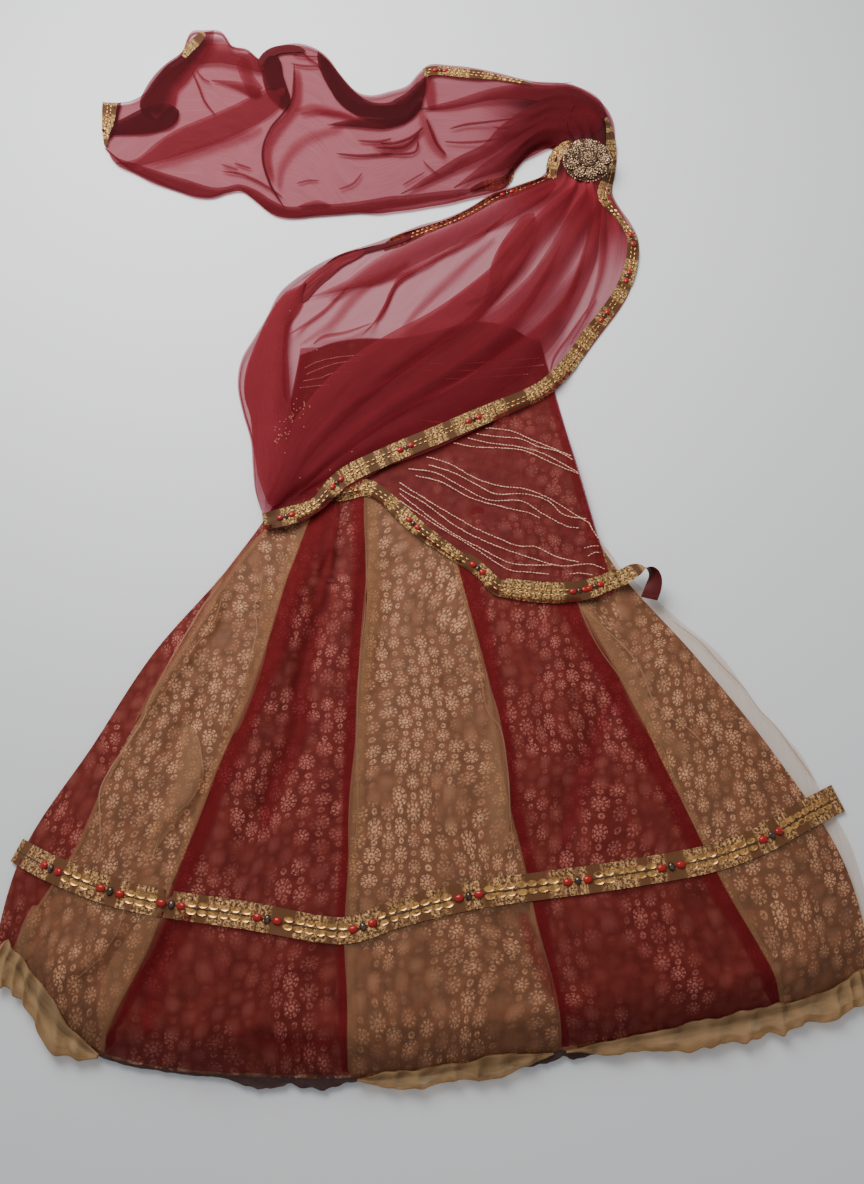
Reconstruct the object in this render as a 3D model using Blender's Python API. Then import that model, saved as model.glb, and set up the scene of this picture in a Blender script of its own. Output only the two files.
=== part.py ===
"""Girl's ready-stitched lehenga saree, laid face up on a table.

A flared skirt of six net panels over a printed satin lining, a long top, and a chiffon drape that
starts at the left hip, crosses the top, gathers under a stone brooch and ends in a free tail.
All sizes are millimetres in the garment's own plan: +X to its right side as seen, +Y towards the
tail, +Z up from the table. MM turns them into metres when a mesh is made.
"""

import math
from collections import namedtuple

import bmesh
import bpy
from mathutils import Vector

MM = 0.001

# Thicknesses and clearances of the layers
CLOTH = 1.0
RIBBON = 1.0
GAP = 0.3
LAY_GAP = 1.3
HEM_GAP = 0.9

# Bottoms of the flat layers that lie under the skirt's front
BACK_TRIM_Z = 0.0
BACK_PANEL_Z = BACK_TRIM_Z + RIBBON + GAP
BACK_LINING_Z = BACK_PANEL_Z + CLOTH + GAP
FRONT_LINING_Z = BACK_LINING_Z + CLOTH + GAP

# Ribbon widths: the skirt's trim, the top's lower edge, and the drape's two edges
SKIRT_TRIM = 26.0
TOP_TRIM = 20.0
DRAPE_TRIM = 21.0

# The seams between the skirt's gores, from its left side to its right side. The x columns are read
# at even steps from the waist to the hem; trim_at is where the trim crosses, as a share of that way.
Seam = namedtuple("Seam", "waist_x waist_y x20 x40 x60 x80 hem_x hem_y trim_at")
SEAMS = (
    Seam(-159, 127, -209, -280, -331, -382, -396, -354, 0.800),
    Seam(-146, 126, -202, -247, -295, -324, -378, -355, 0.855),
    Seam(-119, 126, -149, -174, -210, -241, -285, -432, 0.775),
    Seam(-71, 126, -67, -70, -74, -75, -70, -449, 0.790),
    Seam(-8, 126, 29, 52, 69, 91, 111, -428, 0.755),
    Seam(95, 126, 132, 180, 221, 263, 307, -396, 0.755),
    Seam(150, 128, 190, 265, 332, 383, 396, -366, 0.700),
)
# The last front gore is cut wider than the lining, and its edge lies beyond it on the table
NET_EDGE = Seam(156, 129, 198, 300, 364, 403, 404, -362, 0.690)
FRONT_SEAMS = SEAMS + (NET_EDGE,)

# Rise of the skirt's front over its edges, from the waist to the hem, and how its edges roll down
PUFF = (0, 5, 13, 20, 25, 26)
SIDE_ROLL = 75.0
HEM_ROLL = 45.0

# Large soft folds of the skirt's net: a ridge from its top to its end, in the garment's plan
Fold = namedtuple("Fold", "top_x top_y end_x end_y width height")
SKIRT_FOLDS = (
    Fold(-185, 60, -300, -215, 17, 4.0),
    Fold(-105, 100, -190, -235, 16, 4.5),
    Fold(-20, 60, -15, -110, 20, 3.0),
    Fold(60, -40, 150, -250, 20, 3.0),
    Fold(185, -40, 305, -230, 20, 3.0),
    Fold(-270, -320, -330, -375, 18, 4.0),
    Fold(-120, -340, -150, -425, 22, 3.5),
    Fold(30, -330, 40, -425, 24, 4.0),
    Fold(190, -300, 215, -395, 22, 3.5),
)

# Rows of the skirt's grid above and below the trim, as shares of each stretch
ROWS_ABOVE = (0.0, 0.14, 0.28, 0.44, 0.60, 0.76, 0.90)
ROWS_BELOW = (0.40, 0.72, 0.90, 1.0)
SKIRT_ROWS = len(ROWS_ABOVE) + 1 + len(ROWS_BELOW)
GORE_COLUMNS = 5
EDGE_COLUMNS = 2
BACK_COLUMNS = 2
BACK_ROWS = 8
# Half of the gap at a seam, as a share of a gore's width
SEAM_CLEAR = 0.5 * GAP / 80.0
# The trim on the back stops short of both side seams
BACK_TRIM_INSET = 0.01
# The hidden layers keep to the inner columns and rows, where the skirt stands high enough for them
UNDERSKIRT_FIRST_COLUMN = 6
UNDERSKIRT_LAST_COLUMN = 28
UNDERSKIRT_FIRST_ROW = 2

# Frills of gathered net along the hem: gores they run over, reach past the hem, and waves
Frill = namedtuple("Frill", "name start end reach waves")
FRILLS = (
    Frill("hem_frill_left", 0.55, 1.97, 24, 7),
    Frill("hem_frill_centre", 3.03, 3.97, 11, 8),
    Frill("hem_frill_right", 4.03, 6.80, 19, 12),
)
FRILL_WAVE = 2.4
WAVE_CELLS = 4
# Scallops of the lining's hem: how far their notches and tips reach past the net's hem
LINING_SCALLOPS = 24
SCALLOP_CELLS = 4
SCALLOP_NOTCH = 4.0
SCALLOP_REACH = 6.0

# The top: its two sides, and its slanting lower edge from left to right
TOP_LEFT = (-152, 300)
TOP_RIGHT = (125, 314)
TOP_LOWER_EDGE = ((-176, 100), (-140, 103), (-105, 107), (-72, 108), (-48, 92), (-20, 64), (8, 43),
                  (38, 21), (66, -6), (100, -15), (140, -17), (168, -13), (188, -4))
TOP_BACK_LOWER_Y = 45.0
TOP_ROWS = 9
TOP_BACK_CELLS = 6
TOP_LINING_SHARE = 0.97
# The trim's loose end from the right hip: its middle from the sewn trim's end, heading and roll
Turn = namedtuple("Turn", "ahead aside lift heading roll")
TRIM_END_TURNS = (
    Turn(14, 6, 1.5, 26, 4), Turn(25, 12, 4.0, 24, 20), Turn(34, 14, 7.0, -5, 58),
    Turn(41, 9, 8.5, -55, 100), Turn(43, 0, 7.0, -85, 140), Turn(41, -10, 4.5, -100, 165),
    Turn(37, -19, 3.0, -105, 178),
)

# Sections across the drape's two stretches, from the hip to the gather and on to the tail's end.
# "first" is the edge that runs up the right side of the garment, "second" the other edge.
Section = namedtuple("Section", "first_x first_y second_x second_y first_rise")
HIP_SECTIONS = (
    Section(-180, 72, -187, 104, 0), Section(-122, 100, -192, 142, 0), Section(-57, 149, -204, 185, 0),
    Section(10, 184, -216, 246, 0), Section(76, 218, -200, 317, 0), Section(134, 250, -160, 382, 0),
    Section(183, 313, -86, 424, 0), Section(223, 379, -8, 464, 0), Section(241, 446, 76, 515, 0),
    Section(226, 505, 148, 545, 0),
)
GATHER_SECTIONS = (
    Section(226, 505.3, 148, 545.3, 0), Section(227, 560, 154, 572, 0), Section(228, 615, 152, 598, 0),
)
TAIL_SECTIONS = (
    Section(228, 615.3, 152, 598.3, 0), Section(214, 684, 118, 578, 0), Section(141, 713, 97, 540, 0),
    Section(60, 724, 40, 520, 0), Section(-14, 714, -20, 506, 2), Section(-67, 668, -76, 498, 3),
    Section(-122, 692, -125, 491, 5), Section(-165, 762, -174, 494, 9), Section(-225, 756, -225, 526, 11),
    Section(-288, 790, -274, 525, 6), Section(-340, 742, -330, 538, 4), Section(-372, 690, -380, 570, 3),
    Section(-417, 670, -415, 602, 2),
)
HIP_ROWS = 16
GATHER_ROWS = 5
TAIL_ROWS = 20

# Pleats of the drape: crest and trough as shares of the width between the trims, at the far end and
# at the gather, with the crest's height at the gather
Pleat = namedtuple("Pleat", "far_crest far_trough near_crest near_trough height")
HIP_PLEATS = (
    Pleat(0.05, 0.10, 0.06, 0.13, 3.0), Pleat(0.15, 0.22, 0.19, 0.25, 3.4),
    Pleat(0.28, 0.33, 0.31, 0.37, 3.2), Pleat(0.38, 0.45, 0.43, 0.49, 3.6),
    Pleat(0.50, 0.57, 0.55, 0.61, 3.4), Pleat(0.63, 0.70, 0.67, 0.73, 3.2),
    Pleat(0.75, 0.82, 0.79, 0.85, 3.4), Pleat(0.88, 0.95, 0.91, 0.96, 3.0),
)
TAIL_PLEATS = (
    Pleat(0.08, 0.16, 0.07, 0.15, 3.2), Pleat(0.24, 0.32, 0.22, 0.30, 3.4),
    Pleat(0.42, 0.50, 0.38, 0.46, 3.6), Pleat(0.58, 0.66, 0.54, 0.62, 3.4),
    Pleat(0.74, 0.82, 0.70, 0.78, 3.4), Pleat(0.90, 0.95, 0.86, 0.94, 3.0),
)
FAR_PLEAT = 0.45
# Share of the drape's width over which its raised first edge comes down
RISE_REACH = 0.3
TAIL_TRIM_FIRST_ROW = 4

# The gather stands highest under the brooch and slopes up towards the tail
GATHER_HEIGHT = 12.0
GATHER_SHOULDER = 0.26
GATHER_SLOPE = math.tan(math.radians(8.0))
BROOCH_X = 192.0
BROOCH_Y = 562.0
BROOCH_TILT = math.radians(8.0)
BROOCH_RADIUS = 30.0
BROOCH_PLATE = 2.0
PETALS = 9
PETAL_RING = 20.7
PETAL_PITCH = 2.0 * PETAL_RING * math.sin(math.pi / PETALS)
PETAL_HEIGHT = 5.0
PLATE_LOBE_DEPTH = 2.6
ROSETTE_LOBES = 7
ROSETTE_RADIUS = 12.3
ROSETTE_LOBE_DEPTH = 1.2
ROSETTE_HEIGHT = 4.2
BOSS_RADIUS = 6.5
BOSS_HEIGHT = 4.0

MAROON_NET = (0.22, 0.012, 0.02)
BEIGE_NET = (0.40, 0.23, 0.12)
SATIN_BROWN = (0.16, 0.065, 0.04)
UNDER_NET = (0.30, 0.17, 0.09)
GOLD_RIBBON = (0.42, 0.25, 0.09)
ANTIQUE_GOLD = (0.32, 0.22, 0.12)
STONE_SILVER = (0.6, 0.56, 0.52)


def clear_scene():
    for old in list(bpy.data.objects):
        bpy.data.objects.remove(old, do_unlink=True)


def finish(name, colour, roughness, metallic):
    """One Principled material for one object."""
    material = bpy.data.materials.new(name)
    material.use_nodes = True
    shader = material.node_tree.nodes["Principled BSDF"]
    shader.inputs["Base Color"].default_value = (*colour, 1.0)
    shader.inputs["Roughness"].default_value = roughness
    shader.inputs["Metallic"].default_value = metallic
    return material


def lerp(start, end, share):
    return start + (end - start) * share


def clamp(value):
    return max(0.0, min(1.0, value))


def ease(value):
    """0 to 1 with level ends."""
    value = clamp(value)
    return value * value * (3.0 - 2.0 * value)


def smooth(values, share):
    """Catmull-Rom curve through evenly spaced values."""
    last = len(values) - 1
    spot = clamp(share) * last
    index = min(int(spot), last - 1)
    t = spot - index
    before = values[max(index - 1, 0)]
    here = values[index]
    there = values[index + 1]
    after = values[min(index + 2, last)]
    return 0.5 * (2 * here + (there - before) * t + (2 * before - 5 * here + 4 * there - after) * t * t
                  + (3 * here - before - 3 * there + after) * t ** 3)


def place_object(name, mesh, material, parent):
    mesh.materials.append(material)
    piece = bpy.data.objects.new(name, mesh)
    parts.objects.link(piece)
    piece.parent = parent
    return piece


def cloth(name, columns, rows, top, bottom, material):
    """A closed wall from a grid: top and bottom give the point of each column and row."""
    bm = bmesh.new()
    bmesh.ops.create_grid(bm, x_segments=columns, y_segments=rows, size=0.5)
    bmesh.ops.extrude_face_region(bm, geom=bm.faces[:])
    bm.verts.index_update()
    per_side = len(bm.verts) // 2
    for vert in bm.verts:
        column = round((vert.co.x + 0.5) * columns)
        row = round((vert.co.y + 0.5) * rows)
        side = bottom if vert.index < per_side else top
        vert.co = Vector(side(column, row)) * MM
    bmesh.ops.recalc_face_normals(bm, faces=bm.faces)
    mesh = bpy.data.meshes.new(name)
    bm.to_mesh(mesh)
    bm.free()
    mesh.shade_smooth()
    mesh.set_sharp_from_angle(angle=math.radians(40))
    return place_object(name, mesh, material, garment)


def below(top, depth):
    """The under side of a wall: its top points, moved down."""
    def point(column, row):
        x, y, z = top(column, row)
        return x, y, z - depth
    return point


# Skirt


def seam_point(seam, share):
    x = smooth((seam.waist_x, seam.x20, seam.x40, seam.x60, seam.x80, seam.hem_x), share)
    return x, lerp(seam.waist_y, seam.hem_y, share)


def skirt_point(gore, share):
    """Plan point at a place across the gores and down from the waist; past 6 is the net's edge."""
    last = len(SEAMS) - 1
    if gore > last:
        left = seam_point(SEAMS[last], share)
        right = seam_point(NET_EDGE, share)
        return lerp(left[0], right[0], gore - last), lerp(left[1], right[1], gore - last)
    spots = [seam_point(seam, share) for seam in SEAMS]
    return smooth([spot[0] for spot in spots], gore / last), smooth([spot[1] for spot in spots], gore / last)


def seam_x(seam, y):
    return seam_point(seam, clamp((seam.waist_y - y) / (seam.waist_y - seam.hem_y)))[0]


def roll(distance, reach):
    """How far a rolled edge has risen at a distance from it."""
    return math.sin(0.5 * math.pi * clamp(distance / reach))


def lining_height(x, y, to_hem=HEM_ROLL):
    """Top of the front lining over the table."""
    inside = min(x - seam_x(SEAMS[0], y), seam_x(SEAMS[-1], y) - x)
    share = (SEAMS[0].waist_y - y) / (SEAMS[0].waist_y - SEAMS[3].hem_y)
    return FRONT_LINING_Z + CLOTH + smooth(PUFF, share) * roll(inside, SIDE_ROLL) * roll(to_hem, HEM_ROLL)


def fold_height(fold, x, y):
    """Height of one soft ridge at a plan point, ended level at both ends."""
    way = Vector((fold.end_x - fold.top_x, fold.end_y - fold.top_y))
    offset = Vector((x - fold.top_x, y - fold.top_y))
    along = offset.dot(way) / way.length_squared
    aside = abs(offset.x * way.y - offset.y * way.x) / way.length
    ends = ease((along + 0.15) / 0.35) * ease((1.15 - along) / 0.35)
    return fold.height * ends * math.exp(-(aside / fold.width) ** 2)


def net_level(x, y, to_hem=HEM_ROLL):
    """Top of the skirt's front net where it lies over the lining."""
    folds = sum(fold_height(fold, x, y) for fold in SKIRT_FOLDS)
    inside = min(x - seam_x(SEAMS[0], y), seam_x(SEAMS[-1], y) - x, to_hem)
    return lining_height(x, y, to_hem) + GAP + CLOTH + folds * ease(inside / 20.0)


def net_height(x, y, to_hem=HEM_ROLL):
    """Top of the skirt's front net, which drops to the table beyond the lining."""
    lining_x = seam_x(SEAMS[-1], y)
    beyond = ease((x - lining_x) / (seam_x(NET_EDGE, y) - lining_x))
    return lerp(net_level(x, y, to_hem), BACK_PANEL_Z + CLOTH, beyond)


def row_share(row, gore):
    """Share of the way down for a grid row; two rows follow the edges of the trim."""
    middle = smooth([seam.trim_at for seam in FRONT_SEAMS], gore / (len(FRONT_SEAMS) - 1))
    half = 0.5 * SKIRT_TRIM / (SEAMS[3].waist_y - SEAMS[3].hem_y)
    above = len(ROWS_ABOVE)
    if row < above:
        return ROWS_ABOVE[row] * (middle - half)
    if row == above:
        return middle - half
    if row == above + 1:
        return middle + half
    return lerp(middle + half, 1.0, ROWS_BELOW[row - above - 2])


def skirt_grid(gore, row, height):
    share = row_share(row, gore)
    x, y = skirt_point(gore, share)
    return x, y, height(x, y, (1.0 - share) * (SEAMS[3].waist_y - SEAMS[3].hem_y))


def column_gore(column):
    """Place across the gores of a grid column; past the lining the net has its own columns."""
    full = (len(SEAMS) - 1) * GORE_COLUMNS
    if column <= full:
        return column / GORE_COLUMNS
    return len(SEAMS) - 1 + (column - full) / EDGE_COLUMNS


def make_skirt_front(maroon, beige):
    gores = len(SEAMS) - 1
    for index in range(gores):
        columns = GORE_COLUMNS + (EDGE_COLUMNS if index == gores - 1 else 0)

        def top(column, row, index=index, columns=columns):
            gore = column_gore(index * GORE_COLUMNS + column)
            clear = {0: SEAM_CLEAR, columns: -SEAM_CLEAR}.get(column, 0.0)
            return skirt_grid(gore + clear, row, net_height)

        cloth(f"skirt_front_{index + 1}", columns, SKIRT_ROWS, top, below(top, CLOTH),
              (maroon, beige)[index % 2])


def make_skirt_back(maroon, beige):
    for index in range(len(SEAMS) - 1):
        def top(column, row, index=index):
            gore = lerp(index + SEAM_CLEAR, index + 1 - SEAM_CLEAR, column / BACK_COLUMNS)
            x, y = skirt_point(gore, row / BACK_ROWS)
            return x, y, BACK_PANEL_Z + CLOTH

        cloth(f"skirt_back_{index + 1}", BACK_COLUMNS, BACK_ROWS, top, below(top, CLOTH),
              (maroon, beige)[index % 2])


def make_linings(satin):
    gores = len(SEAMS) - 1
    columns = gores * GORE_COLUMNS

    def front(column, row):
        return skirt_grid(column / GORE_COLUMNS, row, lining_height)

    def back(column, row):
        x, y = skirt_point(column / BACK_COLUMNS, row / BACK_ROWS)
        return x, y, BACK_LINING_Z + CLOTH

    cells = LINING_SCALLOPS * SCALLOP_CELLS

    def hem(column, row):
        gore = gores * column / cells
        x, y = skirt_point(gore, 1.0)
        swing = abs(math.sin(math.pi * column / SCALLOP_CELLS))
        reach = (HEM_GAP, SCALLOP_NOTCH + SCALLOP_REACH * swing)[row]
        return x, y - reach, FRONT_LINING_Z + CLOTH

    cloth("lining_front", columns, SKIRT_ROWS, front, below(front, CLOTH), satin)
    cloth("lining_back", gores * BACK_COLUMNS, BACK_ROWS, back, below(back, CLOTH), satin)
    cloth("lining_hem", cells, 1, hem, below(hem, CLOTH), satin)


def make_underskirt(net):
    """The hidden layers between the two linings, as one rounded solid set in from the edges."""
    def top(column, row):
        x, y, z = skirt_grid((column + UNDERSKIRT_FIRST_COLUMN) / GORE_COLUMNS,
                             row + UNDERSKIRT_FIRST_ROW, lining_height)
        return x, y, z - CLOTH - GAP

    def bottom(column, row):
        x, y, z = top(column, row)
        return x, y, FRONT_LINING_Z

    columns = UNDERSKIRT_LAST_COLUMN - UNDERSKIRT_FIRST_COLUMN
    rows = SKIRT_ROWS - 1 - UNDERSKIRT_FIRST_ROW
    cloth("underskirt", columns, rows, top, bottom, net)


def make_skirt_trims(ribbon):
    gores = len(SEAMS) - 1
    columns = gores * GORE_COLUMNS + EDGE_COLUMNS
    first_row = len(ROWS_ABOVE)

    def front(column, row):
        x, y, z = skirt_grid(column_gore(column), first_row + row, net_height)
        return x, y, z + GAP + RIBBON

    def back(column, row):
        gore = lerp(BACK_TRIM_INSET, gores - BACK_TRIM_INSET, column / (gores * BACK_COLUMNS))
        x, y = skirt_point(gore, row_share(first_row + row, gore))
        return x, y, BACK_TRIM_Z + RIBBON

    cloth("skirt_trim_front", columns, 1, front, below(front, RIBBON), ribbon)
    cloth("skirt_trim_back", gores * BACK_COLUMNS, 1, back, below(back, RIBBON), ribbon)


def make_frills(net):
    for frill in FRILLS:
        columns = frill.waves * WAVE_CELLS

        def top(column, row, frill=frill, columns=columns):
            share = column / columns
            gore = lerp(frill.start, frill.end, share)
            x, y = skirt_point(gore, 1.0)
            edge = net_height(x, y, 0.0)
            fade = min(1.0, 6.0 * share, 6.0 * (1.0 - share))
            wave = math.sin(2.0 * math.pi * frill.waves * share)
            reach = frill.reach * (0.45 + 0.55 * fade) * (0.93 + 0.07 * math.sin(9.0 * share + 1.0))
            out = (HEM_GAP, 0.45 * reach, reach)[row]
            swell = (0.0, 0.7, 1.0)[row]
            return x, y - out, edge + swell * (FRILL_WAVE * 0.4 + FRILL_WAVE * 0.6 * fade * wave + 1.6)

        cloth(frill.name, columns, 2, top, below(top, CLOTH), net)


# Top


def top_side_x(side, y):
    """Side edges of the top: a straight line from its upper corner to its lower one."""
    upper = TOP_LEFT if side < 0 else TOP_RIGHT
    lower = TOP_LOWER_EDGE[0] if side < 0 else TOP_LOWER_EDGE[-1]
    return lerp(upper[0], lower[0], clamp((upper[1] - y) / (upper[1] - lower[1])))


def top_upper_y(x):
    return lerp(TOP_LEFT[1], TOP_RIGHT[1], clamp((x - TOP_LEFT[0]) / (TOP_RIGHT[0] - TOP_LEFT[0])))


def top_seat(x, y):
    """What the top's front lies on: its own back, then the skirt below the waist."""
    waist = SEAMS[0].waist_y
    on_skirt = net_level(x, min(y, waist - 1.0)) + LAY_GAP
    return lerp(RIBBON + GAP, on_skirt, ease((waist + 95.0 - y) / 90.0))


def top_point(column, row):
    columns = len(TOP_LOWER_EDGE) - 1
    share = column / columns
    upper_x = lerp(TOP_LEFT[0], TOP_RIGHT[0], share)
    upper_y = lerp(TOP_LEFT[1], TOP_RIGHT[1], share)
    lower_x, lower_y = TOP_LOWER_EDGE[column]
    trim_share = 1.0 - TOP_TRIM / (upper_y - lower_y)
    down = 1.0 if row == TOP_ROWS else trim_share * row / (TOP_ROWS - 1)
    return lerp(upper_x, lower_x, down), lerp(upper_y, lower_y, down)


def top_height(x, y):
    """Upper face of the top's front."""
    return top_seat(x, y) + CLOTH + 2.0 * GAP + CLOTH


def top_trim_point(column, row):
    """Upper face of the ribbon along the top's lower edge."""
    x, y = top_point(column, TOP_ROWS - 1 + row)
    return x, y, top_height(x, y) + GAP + RIBBON


def make_top(maroon, satin, ribbon):
    columns = len(TOP_LOWER_EDGE) - 1

    def front(column, row):
        x, y = top_point(column, row)
        return x, y, top_height(x, y)

    def lining(column, row):
        x, y = top_point(column, row)
        middle = 0.5 * (top_side_x(-1, y) + top_side_x(1, y))
        x = middle + (x - middle) * TOP_LINING_SHARE
        return x, y, top_seat(x, y) + CLOTH

    def back(column, row):
        share = column / TOP_BACK_CELLS
        upper = lerp(Vector(TOP_LEFT), Vector(TOP_RIGHT), share)
        lower = Vector((lerp(top_side_x(-1, TOP_BACK_LOWER_Y), top_side_x(1, TOP_BACK_LOWER_Y), share),
                        TOP_BACK_LOWER_Y))
        x, y = lerp(upper, lower, row / TOP_BACK_CELLS)
        return x, y, RIBBON

    cloth("top_front", columns, TOP_ROWS, front, below(front, CLOTH), maroon)
    cloth("top_lining", columns, TOP_ROWS - 1, lining, below(lining, CLOTH), satin)
    cloth("top_back", TOP_BACK_CELLS, TOP_BACK_CELLS, back, below(back, CLOTH), maroon)
    cloth("top_trim", columns, 1, top_trim_point, below(top_trim_point, RIBBON), ribbon)


def make_trim_end(ribbon):
    """The loose end of the top's trim, which curls over past the right hip and turns its back up."""
    last = len(TOP_LOWER_EDGE) - 1
    inner = Vector(top_trim_point(last, 0)) + Vector((GAP, 0.0, 0.0))
    outer = Vector(top_trim_point(last, 1)) + Vector((GAP, 0.0, 0.0))
    start = lerp(inner, outer, 0.5) - Vector((0.0, 0.0, 0.5 * RIBBON))

    def point(column, row, side):
        if row == 0:
            edge = lerp(inner, outer, 0.5 * column)
            return edge if side > 0 else edge - Vector((0.0, 0.0, RIBBON))
        turn = TRIM_END_TURNS[row - 1]
        heading = math.radians(turn.heading)
        bank = math.radians(turn.roll)
        level = Vector((math.sin(heading), -math.cos(heading), 0.0))
        across = level * math.cos(bank) + Vector((0.0, 0.0, math.sin(bank)))
        out = level * -math.sin(bank) + Vector((0.0, 0.0, math.cos(bank)))
        centre = start + Vector((turn.ahead, turn.aside, turn.lift))
        return centre + across * 0.5 * TOP_TRIM * (column - 1) + out * side * 0.5 * RIBBON

    def upper(column, row):
        return point(column, row, 1.0)

    def lower(column, row):
        return point(column, row, -1.0)

    cloth("top_trim_end", 2, len(TRIM_END_TURNS), upper, lower, ribbon)


# Drape


def seat_under_drape(x, y):
    """Height of what the drape lies on: the top, the skirt's upper corner, or the table."""
    beside_top = min(x - top_side_x(-1, y), top_side_x(1, y) - x, top_upper_y(x) - y)
    on_top = (top_height(x, y) + GAP + RIBBON) * ease((beside_top + 34.0) / 26.0)
    waist = SEAMS[0].waist_y
    beside_skirt = min(x - seam_x(SEAMS[0], y), waist - y)
    on_skirt = net_level(x, min(y, waist - 1.0)) * ease((beside_skirt + 30.0) / 24.0)
    return max(on_top, on_skirt)


def section_at(sections, share):
    return [smooth([row[index] for row in sections], share) for index in range(5)]


def gather_lift(x, y, across):
    """The bunched folds under the brooch, highest in the middle of the width."""
    plateau = ease(across / GATHER_SHOULDER) * ease((1.0 - across) / GATHER_SHOULDER)
    return plateau * max(0.0, GATHER_HEIGHT + GATHER_SLOPE * (y - BROOCH_Y))


def drape_columns(pleats):
    """Places across the drape: its edges, the trims' inner edges, and each crest and trough."""
    return 3 + 2 * len(pleats)


def drape_point(sections, pleats, column, share, near):
    """Plan point, share of the width and pleat height; near is 1 at the gather, 0 at the far end."""
    first_x, first_y, second_x, second_y, rise = section_at(sections, share)
    width = math.hypot(second_x - first_x, second_y - first_y)
    trim = min(DRAPE_TRIM / width, 0.21)
    last = drape_columns(pleats)
    if column == 0 or column == last:
        across = 0.0 if column == 0 else 1.0
        height = 0.0
    elif column == 1 or column == last - 1:
        across = trim if column == 1 else 1.0 - trim
        height = 0.0
    else:
        pleat = pleats[(column - 2) // 2]
        crest = (column - 2) % 2 == 0
        far = pleat.far_crest if crest else pleat.far_trough
        close = pleat.near_crest if crest else pleat.near_trough
        across = lerp(trim, 1.0 - trim, lerp(far, close, near))
        height = pleat.height * lerp(FAR_PLEAT, 1.0, near) if crest else 0.0
    x = lerp(first_x, second_x, across)
    y = lerp(first_y, second_y, across)
    return x, y, across, height, rise * ease(1.0 - across / RISE_REACH)


def make_hip_stretch(maroon, ribbon):
    """The stretch from the left hip across the top and up to the gather, with both its trims."""
    columns = drape_columns(HIP_PLEATS)

    def top(column, row):
        share = row / HIP_ROWS
        x, y, across, height, rise = drape_point(HIP_SECTIONS, HIP_PLEATS, column, share, share)
        bunch = gather_lift(x, y, across) * ease((share - 0.72) / 0.28)
        seat = seat_under_drape(x, y)
        clear = LAY_GAP * ease(seat / 3.0)
        return x, y, seat + clear + CLOTH + height + bunch + rise

    def bottom(column, row):
        x, y, z = top(column, row)
        return x, y, lerp(z - CLOTH, 0.0, ease((row / HIP_ROWS - 0.78) / 0.2))

    def trim(first):
        def point(column, row):
            edge = column if first > 0 else columns - 1 + column
            x, y, z = top(edge, row)
            return x, y, z + GAP + RIBBON
        return point

    cloth("drape_hip", columns, HIP_ROWS, top, bottom, maroon)
    for name, first in (("hip_trim_lower", 1), ("hip_trim_upper", -1)):
        band = trim(first)
        cloth(name, 1, HIP_ROWS, band, below(band, RIBBON), ribbon)


def make_gather(maroon, ribbon):
    """The short gathered stretch under the brooch: bunched folds as one solid, ridged on top."""
    columns = drape_columns(HIP_PLEATS)

    def top(column, row):
        share = row / GATHER_ROWS
        x, y, across, height, rise = drape_point(GATHER_SECTIONS, HIP_PLEATS, column, share, 1.0)
        return x, y, CLOTH + height * 0.9 + gather_lift(x, y, across) + rise

    def bottom(column, row):
        x, y, z = top(column, row)
        return x, y, 0.0

    cloth("drape_gather", columns, GATHER_ROWS, top, bottom, maroon)
    for name, edge in (("gather_trim_right", 0), ("gather_trim_left", columns - 1)):
        def band(column, row, edge=edge):
            x, y, z = top(edge + column, lerp(0.06, GATHER_ROWS - 0.06, row / GATHER_ROWS))
            return x, y, z + GAP + RIBBON
        cloth(name, 1, GATHER_ROWS, band, below(band, RIBBON), ribbon)


def make_tail(maroon, ribbon):
    """The free end, turned over, so that its trims lie under it along both edges and the end."""
    columns = drape_columns(TAIL_PLEATS)

    def top(column, row):
        share = row / TAIL_ROWS
        near = 1.0 - share
        x, y, across, height, rise = drape_point(TAIL_SECTIONS, TAIL_PLEATS, column, share, near)
        bunch = gather_lift(x, y, across) * ease((0.2 - share) / 0.2)
        seat = (RIBBON + GAP) * ease(share / 0.12)
        return x, y, seat + CLOTH + height + bunch + rise

    def bottom(column, row):
        x, y, z = top(column, row)
        return x, y, lerp(0.0, z - CLOTH, ease((row / TAIL_ROWS - 0.06) / 0.12))

    cloth("drape_tail", columns, TAIL_ROWS, top, bottom, maroon)
    for name, edge in (("tail_trim_top", 0), ("tail_trim_bottom", columns - 1)):
        def band(column, row, edge=edge):
            x, y, z = top(edge + column, row + TAIL_TRIM_FIRST_ROW)
            return x, y, z - CLOTH - GAP
        cloth(name, 1, TAIL_ROWS - 1 - TAIL_TRIM_FIRST_ROW, band, below(band, RIBBON), ribbon)

    def end_band(column, row):
        x, y, z = top(column, TAIL_ROWS - 1 + row)
        x -= 2.0 * GAP * (1 - row)
        return x, y, z - CLOTH - GAP

    cloth("tail_trim_end", columns, 1, end_band, below(end_band, RIBBON), ribbon)


# Brooch


def dome(name, radius, height, seat, spot, material, segments):
    """A stone cluster or boss: the upper part of a flattened sphere with a flat underside."""
    bm = bmesh.new()
    bmesh.ops.create_uvsphere(bm, u_segments=segments, v_segments=8, radius=1.0)
    lower = [vert for vert in bm.verts if vert.co.z < -0.01]
    bmesh.ops.delete(bm, geom=lower, context="VERTS")
    bmesh.ops.holes_fill(bm, edges=bm.edges[:], sides=0)
    for vert in bm.verts:
        vert.co = Vector((vert.co.x * radius, vert.co.y * radius, vert.co.z * height)) * MM
    bmesh.ops.recalc_face_normals(bm, faces=bm.faces)
    mesh = bpy.data.meshes.new(name)
    bm.to_mesh(mesh)
    bm.free()
    mesh.shade_smooth()
    mesh.set_sharp_from_angle(angle=math.radians(40))
    piece = place_object(name, mesh, material, seat)
    piece.location = Vector(spot) * MM
    return piece


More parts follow.
